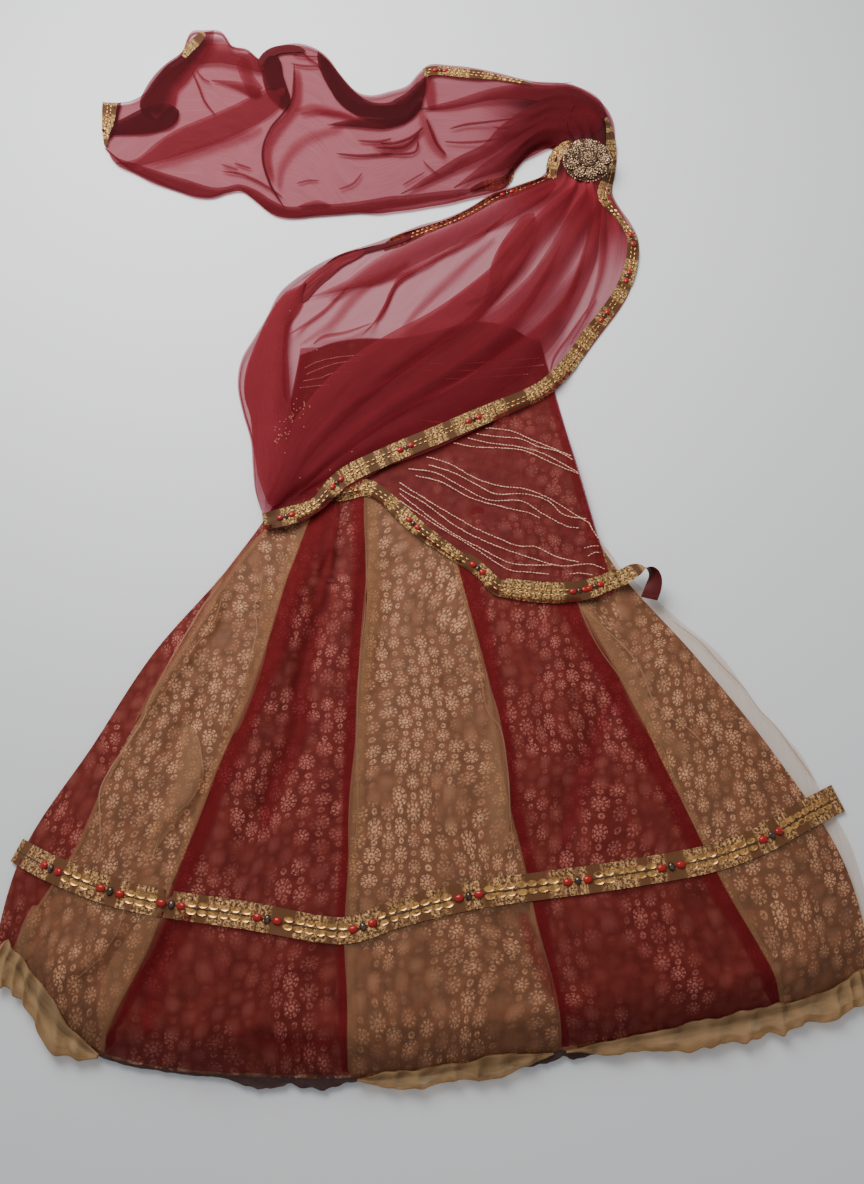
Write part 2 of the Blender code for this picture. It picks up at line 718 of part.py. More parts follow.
def lobed_plate(name, radius, lobes, depth, thickness, seat, base, material):
    """A flat plate with a scalloped rim."""
    steps = lobes * 6
    bm = bmesh.new()
    ring = []
    for step in range(steps):
        angle = 2.0 * math.pi * step / steps
        reach = radius - depth + depth * abs(math.cos(0.5 * lobes * angle))
        ring.append(bm.verts.new(Vector((reach * math.cos(angle), reach * math.sin(angle), base)) * MM))
    plate = bm.faces.new(ring)
    risen = bmesh.ops.extrude_face_region(bm, geom=[plate])
    lifted = [part for part in risen["geom"] if isinstance(part, bmesh.types.BMVert)]
    bmesh.ops.translate(bm, verts=lifted, vec=(0, 0, thickness * MM))
    bmesh.ops.recalc_face_normals(bm, faces=bm.faces)
    mesh = bpy.data.meshes.new(name)
    bm.to_mesh(mesh)
    bm.free()
    return place_object(name, mesh, material, seat)


def make_brooch():
    metal = finish("antique gold", ANTIQUE_GOLD, 0.35, 0.9)
    stones = finish("stone clusters", STONE_SILVER, 0.2, 0.6)
    seat = bpy.data.objects.new("brooch_seat", None)
    parts.objects.link(seat)
    seat.parent = garment
    lift = CLOTH + GATHER_HEIGHT + 0.9 * max(pleat.height for pleat in HIP_PLEATS) + GAP
    seat.location = Vector((BROOCH_X, BROOCH_Y, lift)) * MM
    seat.rotation_euler = (BROOCH_TILT, 0.0, 0.0)
    lobed_plate("brooch_plate", BROOCH_RADIUS, PETALS, PLATE_LOBE_DEPTH, BROOCH_PLATE, seat, 0.0, metal)
    on_plate = BROOCH_PLATE + GAP
    for index in range(PETALS):
        angle = 2.0 * math.pi * index / PETALS
        spot = (PETAL_RING * math.cos(angle), PETAL_RING * math.sin(angle), on_plate)
        dome(f"brooch_petal_{index + 1}", 0.5 * (PETAL_PITCH - GAP), PETAL_HEIGHT, seat, spot, stones, 12)
    lobed_plate("brooch_rosette", ROSETTE_RADIUS, ROSETTE_LOBES, ROSETTE_LOBE_DEPTH, ROSETTE_HEIGHT, seat,
                on_plate, metal)
    on_rosette = on_plate + ROSETTE_HEIGHT + GAP
    dome("brooch_boss", BOSS_RADIUS, BOSS_HEIGHT, seat, (0.0, 0.0, on_rosette), stones, 16)


def centre_on_origin():
    """Moves the garment so that the middle of its box stands on the origin."""
    bpy.context.view_layer.update()
    corners = []
    for piece in parts.objects:
        if piece.type == "MESH":
            corners += [piece.matrix_world @ vert.co for vert in piece.data.vertices]
    low = Vector([min(corner[axis] for corner in corners) for axis in range(3)])
    high = Vector([max(corner[axis] for corner in corners) for axis in range(3)])
    garment.location = (-0.5 * (low.x + high.x), -0.5 * (low.y + high.y), -low.z)
    bpy.context.view_layer.update()


clear_scene()
parts = bpy.data.collections.new("lehenga_saree")
bpy.context.scene.collection.children.link(parts)
garment = bpy.data.objects.new("garment", None)
parts.objects.link(garment)

maroon_net = finish("maroon net", MAROON_NET, 0.6, 0.0)
beige_net = finish("beige net", BEIGE_NET, 0.6, 0.0)
satin = finish("printed satin lining", SATIN_BROWN, 0.45, 0.0)
gold_ribbon = finish("gold ribbon", GOLD_RIBBON, 0.35, 0.7)

make_skirt_back(maroon_net, beige_net)
make_linings(satin)
make_underskirt(finish("gathered under net", UNDER_NET, 0.7, 0.0))
make_skirt_front(maroon_net, beige_net)
make_frills(beige_net)
make_skirt_trims(gold_ribbon)
make_top(maroon_net, satin, gold_ribbon)
make_trim_end(gold_ribbon)
make_hip_stretch(maroon_net, gold_ribbon)
make_gather(maroon_net, gold_ribbon)
make_tail(maroon_net, gold_ribbon)
make_brooch()
centre_on_origin()
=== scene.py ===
"""Child's ready-stitched lehenga saree laid face up on a table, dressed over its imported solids."""
import math
from collections import namedtuple

import bmesh
import bpy
from mathutils import Matrix, Vector, noise
from mathutils.bvhtree import BVHTree


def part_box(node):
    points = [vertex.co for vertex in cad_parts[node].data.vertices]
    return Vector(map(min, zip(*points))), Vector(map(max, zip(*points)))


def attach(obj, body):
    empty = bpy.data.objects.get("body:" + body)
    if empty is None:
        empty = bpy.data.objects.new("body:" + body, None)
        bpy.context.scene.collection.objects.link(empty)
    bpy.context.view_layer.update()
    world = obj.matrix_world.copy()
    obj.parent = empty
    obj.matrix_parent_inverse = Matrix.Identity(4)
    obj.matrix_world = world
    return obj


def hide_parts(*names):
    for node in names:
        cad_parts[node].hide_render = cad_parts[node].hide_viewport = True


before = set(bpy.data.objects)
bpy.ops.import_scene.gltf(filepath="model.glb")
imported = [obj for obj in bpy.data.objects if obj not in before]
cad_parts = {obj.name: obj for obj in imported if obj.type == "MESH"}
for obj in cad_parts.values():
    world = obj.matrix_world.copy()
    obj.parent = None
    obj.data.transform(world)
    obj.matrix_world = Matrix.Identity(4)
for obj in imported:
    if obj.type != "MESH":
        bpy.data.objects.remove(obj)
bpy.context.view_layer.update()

# Table, light and camera
# The garment lies on a plain white table under soft daylight from its upper left. The camera looks down
# on it from the hem's side, 20 degrees off the vertical. All sizes below are millimetres in the garment's
# own plan, +Y towards the drape's free end; the back of the top says where that plan lies.
MM = 0.001
TOP_BACK_CORNER = (-176.0, 45.0)
CAMERA_TILT = math.radians(20.0)
CAMERA_REACH = 926.0
PICTURE = (864, 1184)
FOCAL = 890.0
SENSOR = 36.0

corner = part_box("top_back")[0]
plan_zero = Vector((corner.x - TOP_BACK_CORNER[0] * MM, corner.y - TOP_BACK_CORNER[1] * MM, 0.0))


def place(x, y, z):
    return plan_zero + Vector((x, y, z)) * MM


class Finish:
    """One material being wired: short hands for its nodes."""

    def __init__(self, name):
        self.material = bpy.data.materials.new(name)
        self.material.use_nodes = True
        self.tree = self.material.node_tree
        self.shader = self.tree.nodes["Principled BSDF"]
        self.output = self.tree.nodes["Material Output"]

    def set(self, socket, value):
        if isinstance(value, bpy.types.NodeSocket):
            self.tree.links.new(value, socket)
        elif hasattr(value, "__len__") and socket.type == "RGBA":
            socket.default_value = (*value[:3], 1.0)
        else:
            socket.default_value = value

    def node(self, kind, settings=None, **inputs):
        made = self.tree.nodes.new(kind)
        for key, value in (settings or {}).items():
            setattr(made, key, value)
        for key, value in inputs.items():
            self.set(made.inputs[key.replace("_", " ")], value)
        return made

    def math(self, operation, *values):
        made = self.tree.nodes.new("ShaderNodeMath")
        made.operation = operation
        for index, value in enumerate(values):
            self.set(made.inputs[index], value)
        return made.outputs[0]

    def plus(self, first, second):
        return self.math("ADD", first, second)

    def minus(self, first, second):
        return self.math("SUBTRACT", first, second)

    def times(self, first, second):
        return self.math("MULTIPLY", first, second)

    def distance(self, aside, up):
        return self.math("SQRT", self.plus(self.times(aside, aside), self.times(up, up)))

    def ramp(self, value, low, high, start=0.0, end=1.0):
        """Smooth step of a value between two limits."""
        made = self.node("ShaderNodeMapRange", {"interpolation_type": "SMOOTHSTEP"})
        for index, number in enumerate((value, low, high, start, end)):
            self.set(made.inputs[index], number)
        return made.outputs[0]

    def mix(self, share, first, second):
        made = self.tree.nodes.new("ShaderNodeMix")
        made.data_type = "RGBA"
        self.set(made.inputs["Factor"], share)
        self.set(made.inputs[6], first)
        self.set(made.inputs[7], second)
        return made.outputs[2]

    def cloth(self):
        """The cloth's own place: millimetres across and along it, and a third fact that each piece uses."""
        return self.node("ShaderNodeAttribute", {"attribute_name": "cloth"}).outputs["Vector"]

    def here(self):
        """Place in the whole garment, in metres."""
        return self.node("ShaderNodeTexCoord").outputs["Object"]

    def split(self, vector):
        return self.node("ShaderNodeSeparateXYZ", Vector=vector).outputs

    def noise(self, vector, size, detail=2.0, rough=0.5):
        """Noise whose lumps are about size millimetres across, on a vector in millimetres."""
        made = self.node("ShaderNodeTexNoise", Vector=vector, Scale=1.0 / size, Detail=detail,
                         Roughness=rough)
        return made.outputs[0]

    def bump(self, height, depth):
        """Relief of depth millimetres."""
        made = self.node("ShaderNodeBump", Height=height, Distance=depth * MM, Strength=1.0)
        self.tree.links.new(made.outputs[0], self.shader.inputs["Normal"])

    def principled(self, **inputs):
        for key, value in inputs.items():
            self.set(self.shader.inputs[key.replace("_", " ")], value)


TABLE_SIZE = 7.0
TABLE_TOP = -0.0004
WINDOW_SPREAD = math.radians(144.0)

bpy.ops.mesh.primitive_plane_add(size=TABLE_SIZE, location=(0.0, 0.0, TABLE_TOP))
table = bpy.context.object
table.name = "table_top"
white = Finish("white_table")
speckle = white.node("ShaderNodeTexNoise", Vector=white.here(), Scale=6.0, Detail=3.0).outputs[0]
white.principled(Base_Color=white.mix(speckle, (0.893, 0.903, 0.913), (0.917, 0.923, 0.928)), Roughness=0.55)
table.data.materials.append(white.material)

camera_data = bpy.data.cameras.new("picture_camera")
camera_data.lens = FOCAL / PICTURE[1] * SENSOR
camera_data.clip_start = 0.01
camera = bpy.data.objects.new("picture_camera", camera_data)
camera.location = place(0.0, -CAMERA_REACH * math.sin(CAMERA_TILT), CAMERA_REACH * math.cos(CAMERA_TILT))
camera.rotation_euler = (CAMERA_TILT, 0.0, 0.0)
bpy.context.scene.collection.objects.link(camera)
bpy.context.scene.camera = camera

window = bpy.data.lights.new("window_light", "AREA")
window.shape = "SQUARE"
window.size = 1.02
window.spread = WINDOW_SPREAD
window.energy = 16.6
window.color = (1.0, 0.995, 0.985)
window_light = bpy.data.objects.new("window_light", window)
window_light.location = place(-464.0, 882.0, 983.0)
window_way = place(124.0, 459.0, 0.0) - window_light.location
window_light.rotation_euler = window_way.to_track_quat("-Z", "Y").to_euler()
bpy.context.scene.collection.objects.link(window_light)
world = bpy.data.worlds.new("room")
world.use_nodes = True
world.node_tree.nodes["Background"].inputs["Color"].default_value = (0.94, 0.96, 1.0, 1.0)
world.node_tree.nodes["Background"].inputs["Strength"].default_value = 0.36
bpy.context.scene.world = world

# Skirt lining
# Brown satin printed all over with small pale flowers, cut as a flared front and back. It carries the net
# gores, and its scalloped dark hem peeks out under them.
CLOTH = 1.0
RIBBON = 1.0
GAP = 0.3
LAY_GAP = 1.3
BACK_PANEL_Z = RIBBON + GAP
BACK_LINING_Z = BACK_PANEL_Z + CLOTH + GAP
FRONT_LINING_Z = BACK_LINING_Z + CLOTH + GAP
# A seam: its ends, how far across it stands at each fifth of its length, and where the ribbon crosses it
Seam = namedtuple("Seam", "waist_x waist_y x20 x40 x60 x80 hem_x hem_y trim_at")
SEAMS = (
    Seam(-159, 127, -209, -280, -331, -382, -396, -354, 0.800),
    Seam(-146, 126, -202, -247, -295, -324, -378, -355, 0.855),
    Seam(-119, 126, -149, -174, -210, -241, -285, -432, 0.775),
    Seam(-71, 126, -67, -70, -74, -75, -70, -449, 0.790),
    Seam(-8, 126, 29, 52, 69, 91, 111, -428, 0.755),
    Seam(95, 126, 132, 180, 221, 263, 307, -396, 0.755),
    Seam(150, 128, 190, 265, 332, 383, 396, -366, 0.700),
)
NET_EDGE = Seam(156, 129, 198, 300, 364, 403, 404, -362, 0.690)
FRONT_SEAMS = SEAMS + (NET_EDGE,)
GORES = len(SEAMS) - 1
SKIRT_LENGTH = SEAMS[3].waist_y - SEAMS[3].hem_y
# How high the under net lifts the front, from the waist to the hem
PUFF = (0, 5, 13, 20, 25, 26)
SIDE_ROLL = 75.0
HEM_ROLL = 45.0
LINING_SCALLOPS = 24


def as_seen(across, down, z=3.0):
    """Plan point that the camera sees at a place of the picture, at a height over the table."""
    u = (across - 0.5 * PICTURE[0]) / FOCAL
    v = (0.5 * PICTURE[1] - down) / FOCAL
    cosine = math.cos(CAMERA_TILT)
    sine = math.sin(CAMERA_TILT)
    reach = (CAMERA_REACH * cosine - z) / (cosine - v * sine)
    return Vector((u * reach, reach * (v * cosine + sine) - CAMERA_REACH * sine))


def lerp(start, end, share):
    return start + (end - start) * share


def clamp(value):
    return max(0.0, min(1.0, value))


def ease(value):
    value = clamp(value)
    return value * value * (3.0 - 2.0 * value)


def smooth(values, share):
    """Catmull-Rom curve through evenly spaced values."""
    last = len(values) - 1
    spot = clamp(share) * last
    index = min(int(spot), last - 1)
    t = spot - index
    before = values[max(index - 1, 0)]
    here = values[index]
    there = values[index + 1]
    after = values[min(index + 2, last)]
    return 0.5 * (here * 2 + (there - before) * t + (before * 2 - here * 5 + there * 4 - after) * (t * t)
                  + (here * 3 - before - there * 3 + after) * t ** 3)


def seam_point(seam, share):
    x = smooth((seam.waist_x, seam.x20, seam.x40, seam.x60, seam.x80, seam.hem_x), share)
    return Vector((x, lerp(seam.waist_y, seam.hem_y, share)))


def skirt_point(gore, share):
    """Plan point at a place across the gores and down from the waist; past 6 is the net's edge."""
    if gore > GORES:
        return lerp(seam_point(SEAMS[GORES], share), seam_point(NET_EDGE, share), gore - GORES)
    return smooth([seam_point(seam, share) for seam in SEAMS], gore / GORES)


def seam_x(seam, y):
    return seam_point(seam, clamp((seam.waist_y - y) / (seam.waist_y - seam.hem_y))).x


def roll(distance, reach):
    return math.sin(0.5 * math.pi * clamp(distance / reach))


def lumps(x, y, size, seed=0.0):
    """Smooth uneven rise and fall, from about -1 to 1."""
    return noise.noise(Vector((x / size, y / size, seed))) * 1.6


def walk(path, step):
    """Stations along a path: across, down, half width, and the way aside."""
    sides = [[spot[index] for spot in path] for index in range(3)]
    rows = max(6, round(sum(math.hypot(b[0] - a[0], b[1] - a[1]) for a, b in zip(path, path[1:])) / step))
    stations = []
    for row in range(rows + 1):
        share = row / rows
        across, down, width = (smooth(side, share) for side in sides)
        ahead = Vector([smooth(side, min(1.0, share + 0.5 / rows)) for side in sides[:2]])
        behind = Vector([smooth(side, max(0.0, share - 0.5 / rows)) for side in sides[:2]])
        way = (ahead - behind).normalized()
        stations.append((across, down, max(0.2, 0.5 * width), Vector((way.y, -way.x))))
    return stations


# The skirt's own folds, read off the picture: height, how wide the slope is on the side that lies left of
# the way down the fold and on its right, and the way itself
SkirtFold = namedtuple("SkirtFold", "height left right path")
SKIRT_FOLDS = (
    SkirtFold(-7.0, 9, 9, (
        (335, 545), (327, 572), (312, 629), (301, 675), (299, 721), (288, 756), (271, 791), (265, 830))),
    SkirtFold(4.0, 8, 12, ((300, 560), (288, 610), (274, 670), (262, 730), (245, 790), (228, 850))),
    SkirtFold(3.5, 12, 8, ((345, 580), (336, 650), (330, 720), (318, 790), (305, 860))),
    SkirtFold(5.0, 3.0, 9, (
        (240, 575), (219, 606), (214, 622), (194, 648), (182, 668), (168, 688), (159, 700), (145, 722))),
    SkirtFold(2.6, 3.0, 7, (
        (263, 569), (261, 588), (255, 606), (257, 629), (251, 657), (247, 675), (240, 694), (226, 717),
        (221, 738))),
    SkirtFold(4.0, 2.6, 11, (
        (198, 742), (203, 767), (202, 781), (191, 800), (175, 816), (161, 833), (152, 862))),
    SkirtFold(-4.0, 7, 7, ((205, 690), (190, 715), (172, 745), (160, 775))),
    SkirtFold(2.4, 3.0, 8, (
        (452, 575), (468, 612), (478, 658), (487, 709), (501, 730), (508, 774), (511, 822))),
    SkirtFold(3.0, 4.0, 12, ((425, 640), (440, 690), (452, 740), (462, 790), (470, 850))),
    SkirtFold(-4.0, 12, 12, ((395, 545), (388, 600), (384, 660), (382, 720))),
    SkirtFold(-6.0, 15, 15, ((610, 690), (592, 740), (575, 790), (560, 850))),
    SkirtFold(4.0, 14, 9, ((545, 610), (560, 670), (570, 730), (585, 790), (600, 850))),
    SkirtFold(3.2, 9, 3.0, (
        (579, 607), (595, 619), (609, 633), (628, 651), (642, 672), (653, 700), (670, 717), (691, 731),
        (710, 752))),
    SkirtFold(2.4, 8, 3.0, ((672, 691), (686, 703), (710, 724), (728, 742), (742, 763), (754, 785))),
    SkirtFold(-4.5, 9, 9, ((598, 596), (614, 618), (632, 640), (655, 668))),
    SkirtFold(-7.0, 11, 11, ((196, 908), (176, 938), (159, 968), (151, 1000), (144, 1035))),
    SkirtFold(5.0, 5.0, 14, ((127, 905), (120, 930), (104, 955), (80, 975), (66, 992))),
    SkirtFold(-4.0, 12, 12, ((240, 1036), (285, 1046), (340, 1040))),
    SkirtFold(4.0, 16, 10, ((235, 925), (225, 970), (205, 1020), (195, 1060))),
    SkirtFold(-5.0, 14, 14, ((330, 935), (322, 980), (330, 1030))),
    SkirtFold(4.0, 14, 12, ((400, 930), (405, 980), (398, 1040))),
    SkirtFold(-4.5, 14, 14, ((500, 905), (512, 955), (540, 1010))),
    SkirtFold(4.5, 12, 16, ((600, 890), (615, 940), (640, 1000))),
    SkirtFold(-5.0, 14, 14, ((690, 880), (712, 930), (735, 985))),
    SkirtFold(3.5, 12, 10, ((770, 850), (795, 900), (815, 960))),
    SkirtFold(-4.0, 10, 10, ((60, 880), (45, 920), (35, 960))),
)
FIELD_STEP = 4.0
FOLD_TOP = 22.0


def press_folds():
    """Height of all the folds on a grid of the skirt's plan, each taken from its nearest station."""
    field = {}
    for fold in SKIRT_FOLDS:
        stations = walk([(*spot, 1.0) for spot in fold.path], 4.0)
        spots = [as_seen(station[0], station[1], FOLD_TOP) for station in stations]
        reach = 2.6 * max(fold.left, fold.right)
        cells = math.ceil(reach / FIELD_STEP)
        nearest = {}
        for index, spot in enumerate(spots):
            way = (spots[min(index + 1, len(spots) - 1)] - spots[max(index - 1, 0)]).normalized()
            side = Vector((-way.y, way.x))
            home_x, home_y = round(spot.x / FIELD_STEP), round(spot.y / FIELD_STEP)
            ends = ease(index / 7.0) * ease((len(spots) - 1 - index) / 7.0)
            for across in range(home_x - cells, home_x + cells + 1):
                for along in range(home_y - cells, home_y + cells + 1):
                    offset = Vector((across * FIELD_STEP, along * FIELD_STEP)) - spot
                    away = offset.length
                    if away < reach and away < nearest.get((across, along), (1e6,))[0]:
                        nearest[across, along] = (away, offset.dot(side), ends)
        for cell, (away, aside, ends) in nearest.items():
            width = fold.left if aside > 0.0 else fold.right
            field[cell] = field.get(cell, 0.0) + fold.height * ends * math.exp(-(away / width) ** 2)
    return field


fold_field = press_folds()


def fold_height(x, y):
    across, along = x / FIELD_STEP, y / FIELD_STEP
    left, low = math.floor(across), math.floor(along)
    across -= left
    along -= low
    below = lerp(fold_field.get((left, low), 0.0), fold_field.get((left + 1, low), 0.0), across)
    above = lerp(fold_field.get((left, low + 1), 0.0), fold_field.get((left + 1, low + 1), 0.0), across)
    return lerp(below, above, along)


def lining_height(x, y, to_hem=HEM_ROLL):
    inside = min(x - seam_x(SEAMS[0], y), seam_x(SEAMS[-1], y) - x)
    share = (SEAMS[0].waist_y - y) / (SEAMS[0].waist_y - SEAMS[3].hem_y)
    puff = smooth(PUFF, share) * roll(inside, SIDE_ROLL) * roll(to_hem, HEM_ROLL)
    folds = fold_height(x, y) * ease(inside / 22.0) * ease(to_hem / 18.0)
    return FRONT_LINING_Z + CLOTH + max(0.25 * puff, puff + folds)


def add_grid(bm, columns, rows, point, facts=None):
    """Adds one open layer of cloth, facing up. point and facts take shares across and along it."""
    cloth = bm.verts.layers.float_vector.get("cloth") or bm.verts.layers.float_vector.new("cloth")
    verts = bmesh.ops.create_grid(bm, x_segments=columns, y_segments=rows, size=0.5)["verts"]
    for vert in verts:
        across = round((vert.co.x + 0.5) * columns) / columns
        along = round((vert.co.y + 0.5) * rows) / rows
        spot = point(across, along)
        vert[cloth] = Vector(facts(across, along) if facts else (spot[0], spot[1], 1.0))
        vert.co = place(*spot)
    faces = list({face for vert in verts for face in vert.link_faces})
    for face in faces:
        face.normal_update()
        face.smooth = True
    if sum(face.normal.z * face.calc_area() for face in faces) < 0.0:
        bmesh.ops.reverse_faces(bm, faces=faces)
    return verts


def made_from(bm, name):
    """A new object in the scene, with what was modelled in bm as its mesh."""
    mesh = bpy.data.meshes.new(name)
    bm.to_mesh(mesh)
    bm.free()
    piece = bpy.data.objects.new(name, mesh)
    bpy.context.scene.collection.objects.link(piece)
    return piece


def put_on(piece, material, nodes=()):
    """Gives a shown piece its material, rides it on the garment and lets it stand for its solids."""
    piece.data.materials.append(material)
    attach(piece, "root")
    if nodes:
        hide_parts(*nodes)
    return piece


def one_layer(name, material, nodes, grid, point, facts=None):
    """A piece that is one plain layer of cloth."""
    bm = bmesh.new()
    add_grid(bm, *grid, point, facts)
    return put_on(made_from(bm, name), material, nodes)


# The print: flowers down columns that are set half a repeat apart, a small ring between two of them
COLUMN_PITCH = 14.0
FLOWER_REPEAT = 24.2
FLOWER_RADIUS = 7.9
RING_RADIUS = 3.1
ROW_SLANT = 0.12
PETALS_PRINTED = 9.0
PRINT_DRIFT = (46.0, 56.0)
FLOWER_SHIFT = (2.2, 3.0)


def flower_print(finish):
    """Share of pale dye at a place of the printed cloth, crisp where the net touches it."""
    x, y, contact = finish.split(finish.cloth())
    drift_x = finish.minus(finish.noise(finish.cloth(), 110.0, 1.0), 0.5)
    drift_y = finish.minus(finish.noise(finish.cloth(), 140.0, 1.0), 0.5)
    x = finish.plus(x, finish.times(drift_x, PRINT_DRIFT[0]))
    y = finish.plus(y, finish.times(drift_y, PRINT_DRIFT[1]))
    column = finish.math("DIVIDE", x, COLUMN_PITCH)
    index = finish.math("FLOOR", column)
    aside = finish.minus(finish.minus(column, index), 0.5)
    aside = finish.times(aside, COLUMN_PITCH)
    slanted = finish.minus(y, finish.times(x, ROW_SLANT))
    row = finish.math("DIVIDE", slanted, FLOWER_REPEAT)
    row = finish.plus(row, finish.times(index, 0.5))
    row_index = finish.math("FLOOR", row)
    up = finish.minus(finish.minus(row, row_index), 0.5)
    up = finish.times(up, FLOWER_REPEAT)
    cell = finish.node("ShaderNodeCombineXYZ", X=index, Y=row_index).outputs[0]
    rolled = finish.node("ShaderNodeTexWhiteNoise", {"noise_dimensions": "2D"}, Vector=cell)
    chance = rolled.outputs["Value"]
    shift_x, shift_y, growth = finish.split(rolled.outputs["Color"])
    ring_up = finish.minus(0.5 * FLOWER_REPEAT, finish.math("ABSOLUTE", up))
    ring = finish.math("DIVIDE", finish.distance(aside, ring_up), RING_RADIUS)
    aside = finish.plus(aside, finish.times(finish.minus(shift_x, 0.5), FLOWER_SHIFT[0]))
    up = finish.plus(up, finish.times(finish.minus(shift_y, 0.5), FLOWER_SHIFT[1]))
    size = finish.times(finish.plus(0.84, finish.times(growth, 0.26)), FLOWER_RADIUS)
    radius = finish.math("DIVIDE", finish.distance(aside, up), size)
    angle = finish.math("ARCTAN2", up, aside)
    turn = finish.times(chance, 6.0)
    petals = finish.math("COSINE", finish.plus(finish.times(angle, PETALS_PRINTED), turn))
    beads = finish.math("COSINE", finish.times(radius, finish.plus(15.0, turn)))
    outer = finish.times(finish.ramp(radius, 0.34, 0.46), finish.ramp(radius, 1.04, 0.88))
    outer = finish.times(outer, finish.ramp(petals, -0.95, 0.1))
    outer = finish.times(outer, finish.ramp(beads, -1.5, 0.2))
    inner = finish.times(finish.ramp(radius, 0.04, 0.16), finish.ramp(radius, 0.40, 0.30))
    flower = finish.math("MAXIMUM", outer, inner)
    flower = finish.times(flower, finish.plus(0.34, finish.times(shift_x, 0.82)))
    small = finish.times(finish.ramp(ring, 0.15, 0.5), finish.ramp(ring, 1.05, 0.75))
    small = finish.times(small, finish.plus(0.3, finish.times(chance, 0.6)))
    crisp = finish.math("MAXIMUM", flower, small)
    lace = finish.ramp(finish.noise(finish.cloth(), 1.4, 2.0, 0.7), 0.42, 0.60)
    crisp = finish.times(crisp, finish.plus(0.22, finish.times(lace, 1.05)))
    blur = finish.math("MAXIMUM", finish.ramp(radius, 1.25, 0.2),
                       finish.times(finish.ramp(ring, 1.4, 0.3), 0.6))
    haze = finish.times(blur, finish.plus(0.03, finish.times(shift_x, 0.15)))
    seen = finish.ramp(contact, 0.0, 1.0)
    dyed = finish.plus(finish.times(crisp, seen), finish.times(haze, finish.minus(1.1, seen)))
    return finish.times(dyed, finish.ramp(contact, -1.0, 0.0))


def shaded(colour, share):
    return [channel * share for channel in colour]


def satin_finish(name, ground, dye):
    finish = Finish(name)
    dyed = flower_print(finish)
    mottle = finish.noise(finish.cloth(), 15.0, 4.0, 0.6)
    base = finish.mix(finish.ramp(mottle, 0.3, 0.7), shaded(ground, 0.62), shaded(ground, 1.35))
    finish.principled(Base_Color=finish.mix(dyed, base, dye), Roughness=0.6, Specular_IOR_Level=0.2)
    finish.bump(finish.noise(finish.cloth(), 1.1, 3.0), 0.15)
    return finish.material


LINING_COLUMNS = 26
LINING_ROWS = 170
SATIN_GROUND = (0.165, 0.052, 0.026)
SATIN_DYE = (0.98, 0.56, 0.34)

# Where the net lies close on the print, so that its flowers show crisp: patches, with more of them on the
# beige gores, fewest on the first gore, and fewer towards the hem
CONTACT_PATCH = 46.0
CLOSE_UNDER_BEIGE = 0.95
CLOSE_UNDER_MAROON = 0.6
CLOSE_UNDER_FIRST = 0.15


def contact(x, y, gore):
    beige = int(clamp(gore / 5.999) * 6) % 2 == 1
    patch = lumps(x, y * 0.8, CONTACT_PATCH, 3.0) + 0.45 * lumps(x, y, 17.0, 8.0)
    low = ease((-260.0 - y) / 110.0)
    close = CLOSE_UNDER_BEIGE if beige else CLOSE_UNDER_MAROON if gore > 1.0 else CLOSE_UNDER_FIRST
    return clamp((patch + close - 0.36 * low) / 0.9) * (1.0 - 0.30 * low)


def lining_front_point(across, along):
    gore = across * GORES
    x, y = skirt_point(gore, along)
    to_hem = (1.0 - along) * SKIRT_LENGTH
    pucker = 0.5 * lumps(x, y, 16.0, 1.0) * clamp(min(across, 1.0 - across) * 12.0)
    return x, y, lining_height(x, y, to_hem) - 0.5 * CLOTH + pucker


def lining_facts(across, along):
    x, y = skirt_point(across * GORES, along)
    return x * 1.02, y * 1.01, contact(x, y, across * GORES)


printed_satin = satin_finish("printed_satin", SATIN_GROUND, SATIN_DYE)
lining_front = one_layer("satin_lining_front", printed_satin, ["lining_front"],
                         (GORES * LINING_COLUMNS, LINING_ROWS), lining_front_point, lining_facts)


def lining_back_point(across, along):
    return *skirt_point(across * GORES, along), BACK_LINING_Z + 0.5 * CLOTH


lining_back = one_layer("satin_lining_back", printed_satin, ["lining_back"], (GORES * 6, 40),
                        lining_back_point, lining_facts)

# The lining's hem: a dark crumpled band cut in scallops, its dark brown deepened as painted shade
HEM_PEEKS = ((2.5, 3.05), (3.5, 4.35), (5.72, 6.0))


def hem_point(across, along):
    x, y = skirt_point(across * GORES, 1.0)
    swing = abs(math.sin(math.pi * LINING_SCALLOPS * across + 0.8 * lumps(x, 0.0, 40.0, 2.0)))
    gore = across * GORES
    peek = max(ease((gore - first) / 0.12) * ease((last - gore) / 0.12) for first, last in HEM_PEEKS)
    reach = along * (3.5 + 4.0 * swing + 1.5 * lumps(x, 0.0, 9.0, 5.0)) * lerp(0.2, 1.0, peek)
    crumple = along * (1.3 * lumps(x, reach * 3.0, 5.0, 4.0) + 0.8)
    return x, y + 6.0 - 6.0 * along - reach, FRONT_LINING_Z + 0.5 + 0.6 * (1.0 - along) + crumple


dark_hem = Finish("dark_satin_hem")
hem_shade = dark_hem.noise(dark_hem.cloth(), 3.0, 4.0)
# Painted shade: both tones lie well below the satin's own brown, for the shade under the gores' edge
hem_colour = dark_hem.mix(hem_shade, (0.018, 0.006, 0.005), (0.075, 0.026, 0.018))
dark_hem.principled(Base_Color=hem_colour, Roughness=0.6)
dark_hem.bump(dark_hem.noise(dark_hem.cloth(), 1.4, 3.0), 0.35)
lining_hem = one_layer("scalloped_hem", dark_hem.material, ["lining_hem"],
                       (LINING_SCALLOPS * 16, 6), hem_point)

# Under net
# Gathered beige net between the two linings, which lifts the front of the skirt. It can't be seen. It is
# the same net as the beige gores.

# A rim that is rolled up on itself counts as this many layers and more, and is painted near black as shade
ROLLED_LAYERS = 8.0
# The drape's tail starts above this slanting line, in metres of the garment's plan
TAIL_SLANT = 0.3
# Between these, packed layers shift to the tail's far darker colour, which is painted shade
TAIL_SHADE_FROM = (0.485, 0.51)


